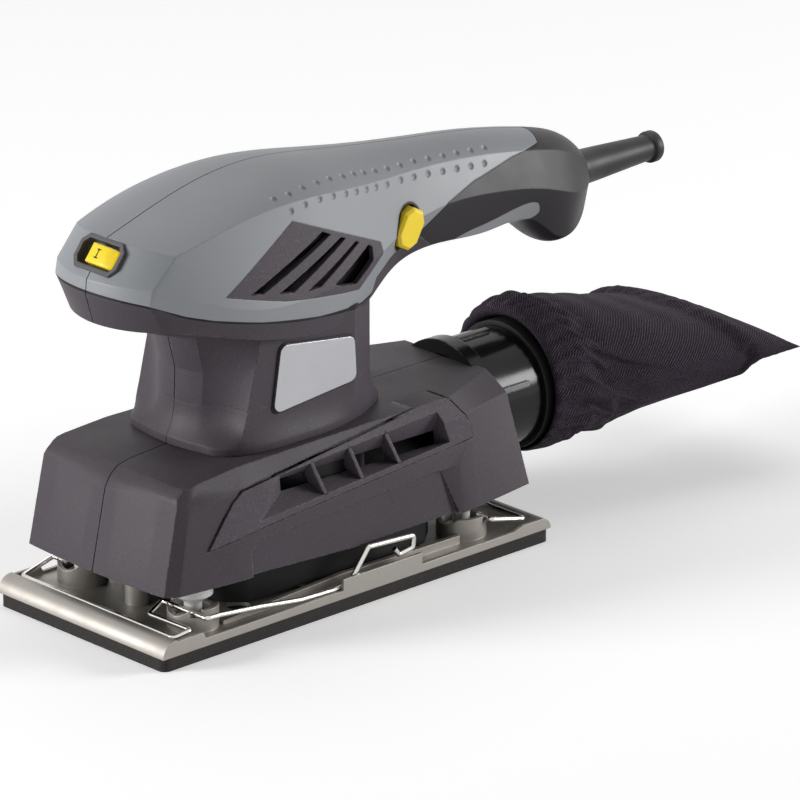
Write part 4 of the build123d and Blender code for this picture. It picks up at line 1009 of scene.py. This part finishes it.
@dataclass
class NeckFoot:
    """The neck's lower end, flared out into its skirt, under copies of the neck halves cut off above it."""

    skirt: Outline = (
        (-53.5, 0), (-51.3, 17.4), (-43, 28.7), (-17.8, 32), (10, 29), (34, 17.4), (40, 0),
    )
    low: tuple[float, ...] = (70, -49.8, -47.4, 12, -43.2, 21, -42.6)
    high: tuple[float, ...] = (92, -48.9, -46.4, 12, -40.6, 20, -37.2)
    pad_y: float = 29.0
    pad_end: float = 12.0
    rear: Point = (27, 20.5)
    tails: Point = (36, 35)
    ends: int = 6
    flank: int = 8
    steps: int = 10
    sweep: float = 2.4
    rise: float = 6.0
    foot_z: float = 64.15
    edge_z: float = 67.0
    top_z: float = 80.0
    wall: float = 2.4
    axis_x: float = -8.0
    probe: float = 20.0
    overlap: float = 0.8
    tuck: float = 0.004
    lead: float = 0.1
    edge_ease: float = 0.5
    edge_mix: float = 0.02
    removed: Place = (-80, 60, 40)
    removed_half: float = 60.0

    def half(self, nose: float, front: Point, middle: list[Point], rear: Point, tail: float) -> list[Point]:
        """A half outline: round the nose, along the given middle part, and round the tail.

        Args:
            nose: x of the nose's tip.
            front: where the nose meets the flank.
            middle: the points between the nose and the tail.
            rear: where the flank meets the tail.
            tail: x of the tail's tip.

        Returns:
            The points (x, y), from the nose to the tail.
        """
        nose_end = arc((front[0], -front[1]), (nose, 0), front, 0.5, 1, self.ends)
        tail_end = arc(rear, (tail, 0), (rear[0], -rear[1]), 0, 0.5, self.ends)
        return [*nose_end, *middle, *tail_end, (tail, 0)]

    def column(self, z: float) -> list[Point]:
        """The column's half outline at a height, from its nose to its tail.

        Args:
            z: the height.

        Returns:
            The points (x, y).
        """
        share = (z - self.low[0]) / (self.high[0] - self.low[0])
        nose, fx, fy, mx, my, crease = (mix(a, b, share) for a, b in zip(self.low[1:], self.high[1:]))
        tail = mix(*self.tails, share)
        corner, pad_end = (crease, self.pad_y), (self.pad_end, self.pad_y)
        middle = arc((fx, fy), (mx, my), corner, 0, 1, self.flank)
        middle += [between(corner, pad_end, i / (2 * self.flank)) for i in range(2 * self.flank)]
        middle += [between(pad_end, self.rear, i / self.flank) for i in range(self.flank)]
        return self.half(nose, (fx, fy), middle, self.rear, tail)

    def edge(self) -> list[Point]:
        """The skirt's half outline, with as many points as the column's.

        Returns:
            The points (x, y).
        """
        nose, front, corner, middle, after, rear, tail = self.skirt
        count = 2 * self.flank
        sides = arc(front, corner, middle, 0, 1, count) + arc(middle, after, rear, 0, 1, count)
        return self.half(nose[0], front, sides, rear, tail[0])

    def fitted(self, tree: BVHTree, z: float) -> list[Point]:
        """The column's half outline at a height, moved onto the neck's own surface.

        Args:
            tree: the neck's surface.
            z: the height.

        Returns:
            The points (x, y).
        """
        points = []
        for x, y in self.column(z):
            aim = Vector((self.axis_x - x, -y, 0)).normalized()
            hit = tree.ray_cast(Vector((x, y, z)) * MM - aim * self.probe * MM, aim)[0]
            on_pad = hit is None or y > self.pad_y - MERGE / MM
            points.append((x, y) if on_pad else (hit.x / MM, hit.y / MM))
        return points

    def rows(self) -> list[Point]:
        """The heights of the foot's rings, each with how far its outline is the column's.

        Returns:
            Pairs of a height and a share, from the foot up.
        """
        rows = [(self.foot_z, 0.0), (self.edge_z - self.edge_ease, 0.0), (self.edge_z, self.edge_mix)]
        for step in range(1, self.steps + 1):
            share = step / self.steps
            rows.append((mix(self.edge_z, self.top_z, share), 1 - (1 - share) ** self.sweep))
        return [*rows, (self.top_z + self.overlap, 1.0)]

    def flare(self, tree: BVHTree) -> Mesh:
        """The closed wall of the flared foot, which ends on the neck's surface.

        Args:
            tree: the neck's surface.

        Returns:
            The closed wall.
        """
        edge, top = self.edge(), self.fitted(tree, self.top_z + self.lead)
        above = self.fitted(tree, self.top_z + self.rise)
        rings = []
        for z, share in self.rows():
            column = [between(low, high, (z - self.top_z) / self.rise) for low, high in zip(top, above)]
            half = [between(rim, wall, share) for rim, wall in zip(edge, column)]
            if z > self.top_z:
                half = [between(point, (self.axis_x, 0), self.tuck) for point in half]
            rings.append([(x, y, z) for x, y in half] + [(x, -y, z) for x, y in reversed(half[:-1])])
        mesh = bmesh.new()
        last_ring, last_spot = len(rings) - 1, len(rings[0]) - 1
        bmesh.ops.create_grid(mesh, x_segments=last_ring, y_segments=last_spot, size=0.5)
        for vertex in mesh.verts:
            ring, spot = round((vertex.co.x + 0.5) * last_ring), round((vertex.co.y + 0.5) * last_spot)
            vertex.co = Vector(rings[ring][spot]) * MM
        return walled(mesh, lambda face: face.calc_center_median().y, 1, self.wall)

    def build(self) -> None:
        """Cuts the neck halves and adds the foot."""
        neck = joined(*(carried_mesh(f"neck_{side.tail}") for side in Side))
        foot = self.flare(BVHTree.FromBMesh(neck))
        neck.free()
        removed = rectangle(*self.removed, self.top_z)
        for side in Side:
            node = f"neck_{side.tail}"
            half = cut_by(carried_mesh(node), plate(removed, -self.removed_half, self.removed_half))
            finished(f"neck_half_{side.tail}", half, DARK, smooth=13, node=node)
        finished("neck_foot", foot, DARK, smooth=20)


@dataclass
class VentShadeSheets:
    """Black sheets inside the housing, behind the upper vents: painted shade that keeps the slots dark."""

    outline: Outline = ((-48, 114), (-48, 128), (-20, 143), (27, 132), (27, 114))
    wide: Outline = ((-48, 29.4), (-30, 29.2), (0, 27.4), (27, 22.4))
    thick: float = 0.8

    def build(self) -> None:
        """Builds one black shade sheet on each side."""
        for side in Side:
            mesh = plate(self.outline, 0, -self.thick)
            for x, _ in self.wide[1:-1]:
                split(mesh, (x, 0, 0), (1, 0, 0))
            for vertex in mesh.verts:
                vertex.co.y = side.value * (along_straight(self.wide, vertex.co.x / MM) * MM + vertex.co.y)
            # a near-black sheet that stands for the shade inside the housing behind the slots
            finished(f"vent_shade_sheet_{side.tail}", closed(mesh), INNER)


@dataclass
class BadgeFrame:
    """The thin dark rim round each badge."""

    outline: Outline = ((-24.5, 101.7), (10.8, 96.8), (11.8, 80.2), (-28.6, 76.5))
    rim: float = 0.7
    corner: float = 3.4
    face_y: float = 29.0
    thick: float = 0.35

    def build(self) -> None:
        """Lays a rounded dark plate under each badge."""
        centre_x, centre_z = (sum(spots) / len(self.outline) for spots in zip(*self.outline))
        for side in Side:
            grown = [(x + math.copysign(self.rim, x - centre_x), z + math.copysign(self.rim, z - centre_z))
                     for x, z in self.outline]
            mesh = plate(grown, side.value * self.face_y, side.value * (self.face_y + self.thick))
            upright = [e for e in mesh.edges if abs((e.verts[0].co - e.verts[1].co).y) > MERGE]
            soften(mesh, upright, self.corner, segments=6)
            finished(f"badge_frame_{side.tail}", mesh, INNER)


# ---- base
@dataclass
class BaseVents:
    """The base's side vents, each a sloping scoop with three thin ribs, the fan's wall behind and the hood.

    Foot, waist and roof hold x and how far out the shell's side lies, at the three levels. The other outlines
    are side views, in millimetres.
    """

    foot: Outline = ((-88.7, 36.8), (-84, 40.2), (-57, 43), (60, 43), (88.8, 41.8))
    waist: Outline = ((-80.3, 36.2), (-76, 38.2), (-55, 39), (58, 38), (86, 31))
    roof: Outline = ((-78.5, 33), (-73, 35.5), (-50, 35.5), (56, 33), (84.5, 22))
    levels: Place = (19, 57, 64)
    panel: Outline = (
        (-69.2, 38.2), (-61.5, 47.8), (-56.8, 53.2), (-52.6, 55.9), (-43, 57), (-9, 60), (28, 62.9),
        (53.6, 62.9), (59.1, 55), (61.2, 48.1), (-41, 41.1),
    )
    roof_z: float = 62.9
    rim: Outline = ((-45.6, 43.2), (-34.8, 57.4), (45.6, 60.8), (48.9, 49.2))
    mouth: Outline = ((-29.6, 49.0), (-29.6, 53.6), (46.4, 52.6), (46.0, 47.6))
    ribs: tuple[Span, ...] = (
        (-18.4, 58.4, -13.0, 44.6), (0.6, 59.3, 5.2, 45.9), (19.0, 60.2, 23.8, 47.2),
    )
    rib_thick: float = 1.5
    rib_edge: float = 0.5
    rib_base: float = 0.8
    rib_sunk: float = 0.05
    rib_root: float = 0.6
    stations: Sequence[int] = range(-55, 51, 15)
    room: Outline = ((-47, 42.4), (-36, 58.3), (46.4, 61.6), (50.2, 48.6))
    beyond: float = 60.0
    proud: float = 0.7
    depth: float = 5.2
    wall: float = 1.1
    fan_x: float = -3.0
    fan_wall: Point = (33.2, 33.9)
    fan_low: float = 37.0
    fan_high: float = 53.8
    slope_top: Point = (44.8, 39.4)
    slope_foot: Point = (54, 15)
    slope: float = 9.0
    slope_from: float = 30.0
    slope_bend: float = 30.0
    slope_near: float = 1.0
    slope_clear: float = 0.1
    room_from: float = 28.0
    roof_from: float = 10.0
    roof_cut: Place = (-90, 90, 20)
    recess: float = 2.3
    webs: tuple[Span, ...] = ((-75, -37.4, 27, 60), (31.4, 77, 27, 60))
    web_half: float = 1.0
    hood: Outline = (
        (-51.5, -26), (-44, -33.4), (42, -33.4), (51, -26), (51, 26), (42, 33.4), (-44, 33.4), (-51.5, 26),
    )
    hood_wall: float = 1.2
    hood_low: float = 9.8
    hood_high: float = 26.0

    def surface_y(self, x: float, z: float) -> float:
        """How far out the shell's side lies at a side-view point, in millimetres.

        Args:
            x: the point's x.
            z: the point's z.

        Returns:
            The distance from the middle plane.
        """
        low, middle, high = self.levels
        foot, waist, roof = (along_straight(plan, x) for plan in (self.foot, self.waist, self.roof))
        if z < middle:
            return mix(foot, waist, (z - low) / (middle - low))
        return mix(waist, roof, (z - middle) / (high - middle))

    def laid(self, x: float, z: float, lift: float, side: Side) -> Vector:
        """A point on the shell's side, lifted off it."""
        return Vector((x, side.value * (self.surface_y(x, z) + lift), z)) * MM

    def scoop(self, side: Side) -> Mesh:
        """The panel with its scoop, as one wall.

        Args:
            side: which half.

        Returns:
            The closed wall.
        """
        mesh = sheet([(x, 0, z) for x, z in self.panel])
        ring = self.rim
        for (ax, az), (bx, bz) in zip(ring, (*ring[1:], ring[0])):
            split(mesh, (ax, 0, az), (bz - az, 0, ax - bx))
        for x in self.stations:
            split(mesh, (x, 0, 0), (1, 0, 0))
        split(mesh, (0, 0, self.levels[1]), (0, 0, 1))
        middles = {face: face.calc_center_median() / MM for face in mesh.faces}
        hole = [face for face, middle in middles.items() if within(ring, middle.x, middle.z)]
        bmesh.ops.delete(mesh, geom=hole, context="FACES")
        border = [e for e in mesh.edges if e.is_boundary and all(
            within(ring, v.co.x / MM, v.co.z / MM, slack=0.02) for v in e.verts)]
        inner = set(new_points(bmesh.ops.extrude_edge_only(mesh, edges=border)))
        for vertex in mesh.verts:
            x, z = vertex.co.x / MM, vertex.co.z / MM
            place = self.sunk(x, z) if vertex in inner else (x, z)
            vertex.co = self.laid(*place, -self.depth if vertex in inner else self.proud, side)
        return walled(mesh, lambda face: face.calc_area(), side.value, self.wall)

    def sunk(self, x: float, z: float) -> Point:
        """Where a point of the scoop's rim goes on its deep mouth.

        Args:
            x: the point's x.
            z: the point's z.

        Returns:
            Its place (x, z) on the mouth.
        """
        (lx, lz), (tx, tz), (rx, rz), (bx, bz) = self.rim
        left = mix(lx, tx, (z - lz) / (tz - lz))
        right = mix(rx, bx, (rz - z) / (rz - bz))
        share = share_of(left, right, x)
        low = mix(lz, bz, (x - lx) / (bx - lx))
        high = mix(tz, rz, (x - tx) / (rx - tx))
        rise = share_of(low, high, z)
        (mx, mlow), (_, mhigh), (ex, ehigh), (_, elow) = self.mouth
        return mix(mx, ex, share), mix(mix(mlow, elow, share), mix(mhigh, ehigh, share), rise)

    def rib(self, span: Span, side: Side) -> Mesh:
        """One thin rib across the scoop, from its top (x, z) to its foot (x, z).

        Args:
            span: x and z of its top, then x and z of its foot.
            side: which half.

        Returns:
            The rib.
        """
        top_x, top_z, foot_x, foot_z = span
        mesh = bmesh.new()
        bmesh.ops.create_cube(mesh, size=1)
        for vertex in mesh.verts:
            outside = vertex.co.y > 0
            x, z = (top_x, top_z) if vertex.co.z > 0 else (foot_x, foot_z)
            out = self.proud - self.rib_sunk if outside else -self.depth - self.rib_root
            slim = self.rib_thick * (self.rib_edge if outside else self.rib_base)
            vertex.co = self.laid(x + math.copysign(slim, vertex.co.x), z, out, side)
        return closed(mesh)

    def opened(self, side: Side) -> Mesh:
        """The base shell with room for the scoop, and a slope behind the lever's recess.

        Args:
            side: which half.

        Returns:
            The cut shell.
        """
        far = side.value * self.beyond
        room = plate(self.room, side.value * self.room_from, far)
        (ax, az), (bx, bz) = self.slope_top, self.slope_foot
        ring = [(ax, az), (bx, bz), (bx + self.slope, bz), (ax + self.slope, az)]
        slope = plate(ring, side.value * self.slope_from, far)
        for vertex in slope.verts:
            x, z = vertex.co.x / MM, vertex.co.z / MM
            if abs(vertex.co.y) < self.beyond * MM - MERGE:
                behind = x > max(ax, bx) or (z > self.slope_bend and x > ax + self.slope_near)
                sunk = -self.slope_clear if behind else self.recess
                vertex.co.y = side.value * (self.surface_y(x, z) - sunk) * MM
        return cut_by(cut_by(carried_mesh(f"base_shell_{side.tail}"), room), slope)

    def hood_ring(self) -> Mesh:
        """The wall under the shell that keeps the dust over the sole's holes.

        Returns:
            The closed wall.
        """
        mesh = sheet([(x, y, self.hood_low) for x, y in self.hood])
        whole, wall = mesh.faces[:], self.hood_wall * MM
        ring = bmesh.ops.inset_region(mesh, faces=whole, thickness=wall, use_boundary=True)["faces"]
        middle = [face for face in mesh.faces if face not in ring]
        bmesh.ops.delete(mesh, geom=middle, context="FACES")
        return drawn_out(mesh, (0, 0, self.hood_high - self.hood_low))

    def roof_strip(self, side: Side) -> Mesh:
        """The panel's top edge, where it turns onto the roof.

        Args:
            side: which half.

        Returns:
            The strip.
        """
        outline = rectangle(*self.roof_cut, self.roof_z)
        below = plate(outline, side.value * self.roof_from, side.value * self.beyond)
        return cut_by(carried_mesh(f"side_vent_{side.tail}"), below)

    def fan_ring(self) -> Mesh:
        """The round wall of the fan's chamber, with its two webs.

        Returns:
            The wall and its webs, in one mesh.
        """
        wall = bmesh.new()
        place = Matrix.Translation((self.fan_x * MM, 0, self.fan_low * MM))
        for radius in self.fan_wall:
            bmesh.ops.create_circle(wall, radius=radius * MM, segments=72, matrix=place)
        bmesh.ops.bridge_loops(wall, edges=wall.edges)
        webs = [plate(rectangle(*web), -self.web_half, self.web_half) for web in self.webs]
        return joined(drawn_out(wall, (0, 0, self.fan_high - self.fan_low)), *webs)

    def build(self) -> None:
        """Builds both sides, the hood and the fan's wall."""
        for side in Side:
            ribs = [self.rib(span, side) for span in self.ribs]
            panel = joined(self.scoop(side), self.roof_strip(side), *ribs)
            base = self.opened(side)
            finished(f"vent_scoop_{side.tail}", panel, PANEL, smooth=25, node=f"side_vent_{side.tail}")
            finished(f"base_half_{side.tail}", base, DARK, smooth=24, node=f"base_shell_{side.tail}")
        finished("dust_hood", self.hood_ring(), INNER, smooth=50)
        finished("fan_wall", self.fan_ring(), INNER)


# ---- dust bag
@dataclass
class DustBag:
    """The gathered cloth bag on its collar, sewn flat at the far end.

    Stations hold x, half-width, rise above and sag below the bag's line, and how much of a flat lens the
    cross-section is, in millimetres.
    """

    stations: tuple[tuple[float, ...], ...] = (
        (115, 27.6, 29.6, 26.6, 0), (119, 29.2, 31.2, 27.4, 0), (124, 30.4, 31.8, 27.4, 0),
        (132, 32.6, 31.2, 25.8, 0.1), (142, 35.4, 29.6, 22.4, 0.2), (160, 40, 25, 15.6, 0.5),
        (180, 44, 19.4, 12.6, 0.8), (200, 47, 13.8, 9, 1), (213, 48.6, 8.2, 5.4, 1), (220, 49.1, 4.6, 3.2, 1),
        (223.2, 49.3, 2.6, 1.8, 1), (224, 49.2, 0.6, 0.4, 1),
    )
    line_z: float = 46.0
    collar_z: float = 45.0
    collar_r: float = 25.2
    lip_x: float = 115.2
    roll: float = 4.5
    mouth_share: float = 0.07
    seam_x: float = 224.0
    puckers: int = 30
    folds: int = 8
    pucker_drift: tuple[Point, ...] = ((1.7, 3), (0.8, 7))
    fold_drift: tuple[Point, ...] = ((2.1, 2),)
    fold_lean: float = 5.0
    pucker_span: Span = (0.03, 0.075, 0.12, 0.3)
    fold_span: Span = (0.06, 0.2, 0.3, 0.75)
    lens_shape: Point = (0.2, 0.3)
    gravity: float = 0.15
    pucker_depth: float = 0.9
    pucker_sink: float = 0.3
    least_reach: float = 6.0
    around: int = 180
    lengthwise: int = 80
    cap: float = 3.2
    free_from: Point = (121, 132)
    free_to: Point = (196, 220)
    frames: int = 30
    weave_size: Point = (0.13, 0.23)
    flat_size: Point = (0.24, 0.125)

    def outline(self, x: float, turn: float) -> Point:
        """The cross-section at x: how far sideways and how high the cloth lies, turn of the way round.

        Args:
            x: the station along the bag.
            turn: how far round the bag, 0 to 1.

        Returns:
            The place (y, z).
        """
        half_width, rise, sag, lens = along(self.stations, x)
        cosine, sine = math.cos(turn * math.tau), math.sin(turn * math.tau)
        blunter, sharper = self.lens_shape
        y = half_width * math.copysign(abs(cosine) ** (1 - blunter * lens), cosine)
        z = (rise if sine > 0 else sag) * math.copysign(abs(sine) ** (1 + sharper * lens), sine)
        return y, self.line_z + z

    def base(self, share: float, turn: float) -> Place:
        """Where the unwrinkled cloth lies: it rolls out of the collar, and then runs to the seam.

        Args:
            share: how far from the mouth, 0 to 1.
            turn: how far round the bag, 0 to 1.

        Returns:
            The place (x, y, z), in millimetres.
        """
        angle, start = turn * math.tau, self.lip_x + self.roll
        if share >= self.mouth_share:
            x = start + (self.seam_x - start) * (share - self.mouth_share) / (1 - self.mouth_share)
            return x, *self.outline(x, turn)
        swing = math.pi * share / self.mouth_share
        inner = (self.collar_r * math.cos(angle), self.collar_z + self.collar_r * math.sin(angle))
        y, z = between(inner, self.outline(start, turn), (1 - math.cos(swing)) / 2)
        return self.lip_x + self.roll * (1 - math.sin(swing)), y, z

    def uneven(self, count: int, drift: Sequence[Point], angle: float) -> float:
        """The phase of count waves round the bag, drawn closer and wider by drift (size, turns)."""
        return sum((size * math.sin(turns * angle) for size, turns in drift), count * angle)

    def creases(self, share: float, angle: float) -> float:
        """How far the puckers at the mouth and the long folds behind them push the cloth out.

        Args:
            share: how far from the mouth, 0 to 1.
            angle: how far round the bag, in radians.

        Returns:
            The push outwards, in millimetres.
        """
        pucker = math.cos(self.uneven(self.puckers, self.pucker_drift, angle)) - self.pucker_sink
        fold = math.cos(self.uneven(self.folds, self.fold_drift, angle) + self.fold_lean * share)
        near_mouth, along_bag = swell(self.pucker_span, share), swell(self.fold_span, share)
        return self.pucker_depth * (pucker * near_mouth + fold * along_bag)

    def point(self, share: float, turn: float) -> Vector:
        """Where the cloth lies, share of the way from the mouth and turn of the way round.

        Args:
            share: how far from the mouth, 0 to 1.
            turn: how far round the bag, 0 to 1.

        Returns:
            The place, in metres.
        """
        x, y, z = self.base(share, turn)
        reach = max(math.hypot(y, z - self.line_z), self.least_reach)
        grow = 1 + self.creases(share, turn * math.tau) / reach
        return Vector((x, y * grow, self.line_z + (z - self.line_z) * grow)) * MM

    def woven(self) -> Mesh:
        """The cloth tube, closed along its run and at its sewn end.

        Returns:
            The cloth's mesh.
        """
        mesh = bmesh.new()
        layer = mesh.loops.layers.uv.new("cloth")
        bmesh.ops.create_grid(mesh, x_segments=self.lengthwise, y_segments=self.around, size=0.5)
        length, girth = self.weave_size
        for face in mesh.faces:
            for loop in face.loops:
                spot = loop.vert.co
                loop[layer].uv = ((spot.x + 0.5) * length, (spot.y + 0.5) * girth)
        for vertex in mesh.verts:
            vertex.co = self.point(vertex.co.x + 0.5, vertex.co.y + 0.5)
        return closed(merged(mesh, 20 * MERGE))

    def settle(self, piece: bpy.types.Object) -> None:
        """Lets the cloth wrinkle and sag between its mouth and its sewn end, and keeps it near its cut.

        Args:
            piece: the bag's cloth.
        """
        held = piece.vertex_groups.new(name="held")
        rest = [v.co.copy() for v in piece.data.vertices]
        for index, place in enumerate(rest):
            x = place.x / MM
            grip = max(1 - smoothstep(*self.free_from, x), smoothstep(*self.free_to, x))
            held.add([index], grip, "REPLACE")
        cloth = piece.modifiers.new("cloth", "CLOTH")
        for name, value in {
            "quality": 7, "mass": 0.2, "tension_stiffness": 18, "compression_stiffness": 18,
            "shear_stiffness": 6, "bending_stiffness": 0.12, "vertex_group_mass": "held",
            "use_pressure": True, "uniform_pressure_force": 3.0, "shrink_min": -0.05,
        }.items():
            setattr(cloth.settings, name, value)
        cloth.settings.effector_weights.gravity = self.gravity
        cloth.point_cache.frame_end = self.frames
        scene = bpy.context.scene
        for number in range(1, self.frames + 1):
            scene.frame_set(number)
        shaped = piece.evaluated_get(bpy.context.evaluated_depsgraph_get()).to_mesh()
        moved = [v.co.copy() for v in shaped.vertices]
        piece.modifiers.remove(cloth)
        scene.frame_set(1)
        for vertex, start, end in zip(piece.data.vertices, rest, moved):
            shift = end - start
            if shift.length > self.cap * MM:
                shift *= self.cap * MM / shift.length
            vertex.co = start + shift
        piece.vertex_groups.clear()

    def build(self) -> None:
        """Makes the bag and lets its cloth settle."""
        cloth = self.woven()
        piece = finished("dust_bag_cloth", cloth, Twill(), smooth=180, node="dust_bag", body="bag")
        self.settle(piece)
        refine = piece.modifiers.new("refine", "SUBSURF")
        refine.levels = refine.render_levels = 1
        log.info("bag cloth: %.4f m2", sum(face.area for face in piece.data.polygons))


# ---- cord sleeve
@dataclass
class CordSleeve:
    """The tapered rubber sleeve that leads the mains cord out of the handle, as a profile of (x, radius)."""

    axis_z: float = 121.5
    steps: int = 64
    profile: Outline = (
        (144.8, 3.4), (144.8, 6.8), (145.1, 7.0), (146.1, 7.0), (146.4, 6.8), (146.4, 6.5), (149.2, 6.5),
        (149.3, 7.0), (149.7, 7.2), (152.4, 7.15), (153.4, 6.8), (162, 6.4), (172, 5.85), (182, 5.3),
        (187.6, 5.0), (188.6, 5.0), (189.1, 5.4), (189.3, 5.9), (189.8, 6.1), (192.2, 6.1), (192.8, 5.8),
        (193, 5.3), (193, 3.9), (192.6, 3.4), (144.8, 3.4),
    )

    def build(self) -> None:
        """Spins the sleeve round its axis."""
        mesh = bmesh.new()
        points = [mesh.verts.new((x * MM, 0, (self.axis_z + r) * MM)) for x, r in self.profile]
        edges = [mesh.edges.new(pair) for pair in zip(points, points[1:])]
        bmesh.ops.spin(mesh, geom=[*points, *edges], cent=(0, 0, self.axis_z * MM), axis=(1, 0, 0),
                       angle=math.tau, steps=self.steps, use_merge=True)
        finished("cord_sleeve_rubber", closed(merged(mesh)), GRIP, node="cord_sleeve")


# ---- studio
@dataclass
class Studio:
    """The pale floor, the soft lamps and the camera."""

    azimuth: float = -43.2
    elevation: float = 20.0
    distance: float = 2.5
    target: Place = (0.0613, 0.0, 0.0518)
    lens: float = 304.56
    sensor: float = 36.0
    floor_half: float = 6.0
    floor_colour: Colour = (246, 246, 246)
    ambient: float = 0.15
    glow: float = 0.29
    lamps: tuple[tuple[str, Place, float, float], ...] = (
        ("front_softbox", (-1.75, 0.95, 0.6), 0.8, 38.0),
        ("side_softbox", (1.75, -1.3, 0.65), 0.9, 36.0),
        ("overhead", (0.4, 0.6, 1.8), 1.7, 9.0),
    )

    def floor(self) -> None:
        """Lays the pale floor."""
        mesh = bmesh.new()
        bmesh.ops.create_grid(mesh, x_segments=1, y_segments=1, size=self.floor_half)
        piece = linked("studio_floor", as_data("studio_floor", mesh))
        made, plan, shader = new_material("studio_floor")
        plan.fill(shader, {
            "Base Color": linear(self.floor_colour), "Roughness": 0.9, "Specular IOR Level": 0.0,
            "Emission Color": WHITE, "Emission Strength": self.glow,
        })
        piece.data.materials.append(made)

    def light(self) -> None:
        """Hangs the lamps and sets the world's even light, which mirrors and the camera see as white."""
        for name, place, size, power in self.lamps:
            lamp = bpy.data.lights.new(name, "AREA")
            lamp.shape = "DISK"
            lamp.size = size
            lamp.energy = power
            holder = linked(name, lamp)
            holder.location = place
            holder.rotation_euler = (Vector(self.target) - Vector(place)).to_track_quat("-Z", "Y").to_euler()
        world = bpy.data.worlds.new("studio")
        world.use_nodes = True
        plan = Plan(world.node_tree)
        path = plan.put("LightPath")
        seen = plan.maths("MAXIMUM", path.outputs["Is Camera Ray"], path.outputs["Is Glossy Ray"])
        seen = plan.maths("MAXIMUM", seen, path.outputs["Is Transmission Ray"])
        strength = plan.spread(seen, 0, 1, self.ambient, 1)
        plan.fill(world.node_tree.nodes["Background"], {"Color": WHITE, "Strength": strength})
        bpy.context.scene.world = world

    def camera(self) -> None:
        """Sets the camera."""
        turn, rise = math.radians(self.azimuth), math.radians(self.elevation)
        away = Vector((math.sin(turn) * math.cos(rise), -math.cos(turn) * math.cos(rise), math.sin(rise)))
        data = bpy.data.cameras.new("camera")
        data.lens = self.lens
        data.sensor_width = self.sensor
        data.clip_end = 50
        holder = linked("camera", data)
        holder.location = Vector(self.target) + away * self.distance
        holder.rotation_euler = (-away).to_track_quat("-Z", "Y").to_euler()
        bpy.context.scene.camera = holder

    def build(self) -> None:
        """Builds the whole studio."""
        self.floor()
        self.light()
        self.camera()
        bpy.context.scene.view_settings.view_transform = "Standard"


def main() -> None:
    """Builds every sub-assembly in order."""
    logging.basicConfig(level=logging.INFO, format="%(name)s: %(message)s")
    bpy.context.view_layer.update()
    Studio().build()
    CarriedParts().dress()
    for kind in (
        DimpledShells, SlideSwitch, NeckFoot, VentShadeSheets, BadgeFrame, BaseVents, DustBag, CordSleeve,
    ):
        kind().build()


if __name__ == "__main__":
    main()
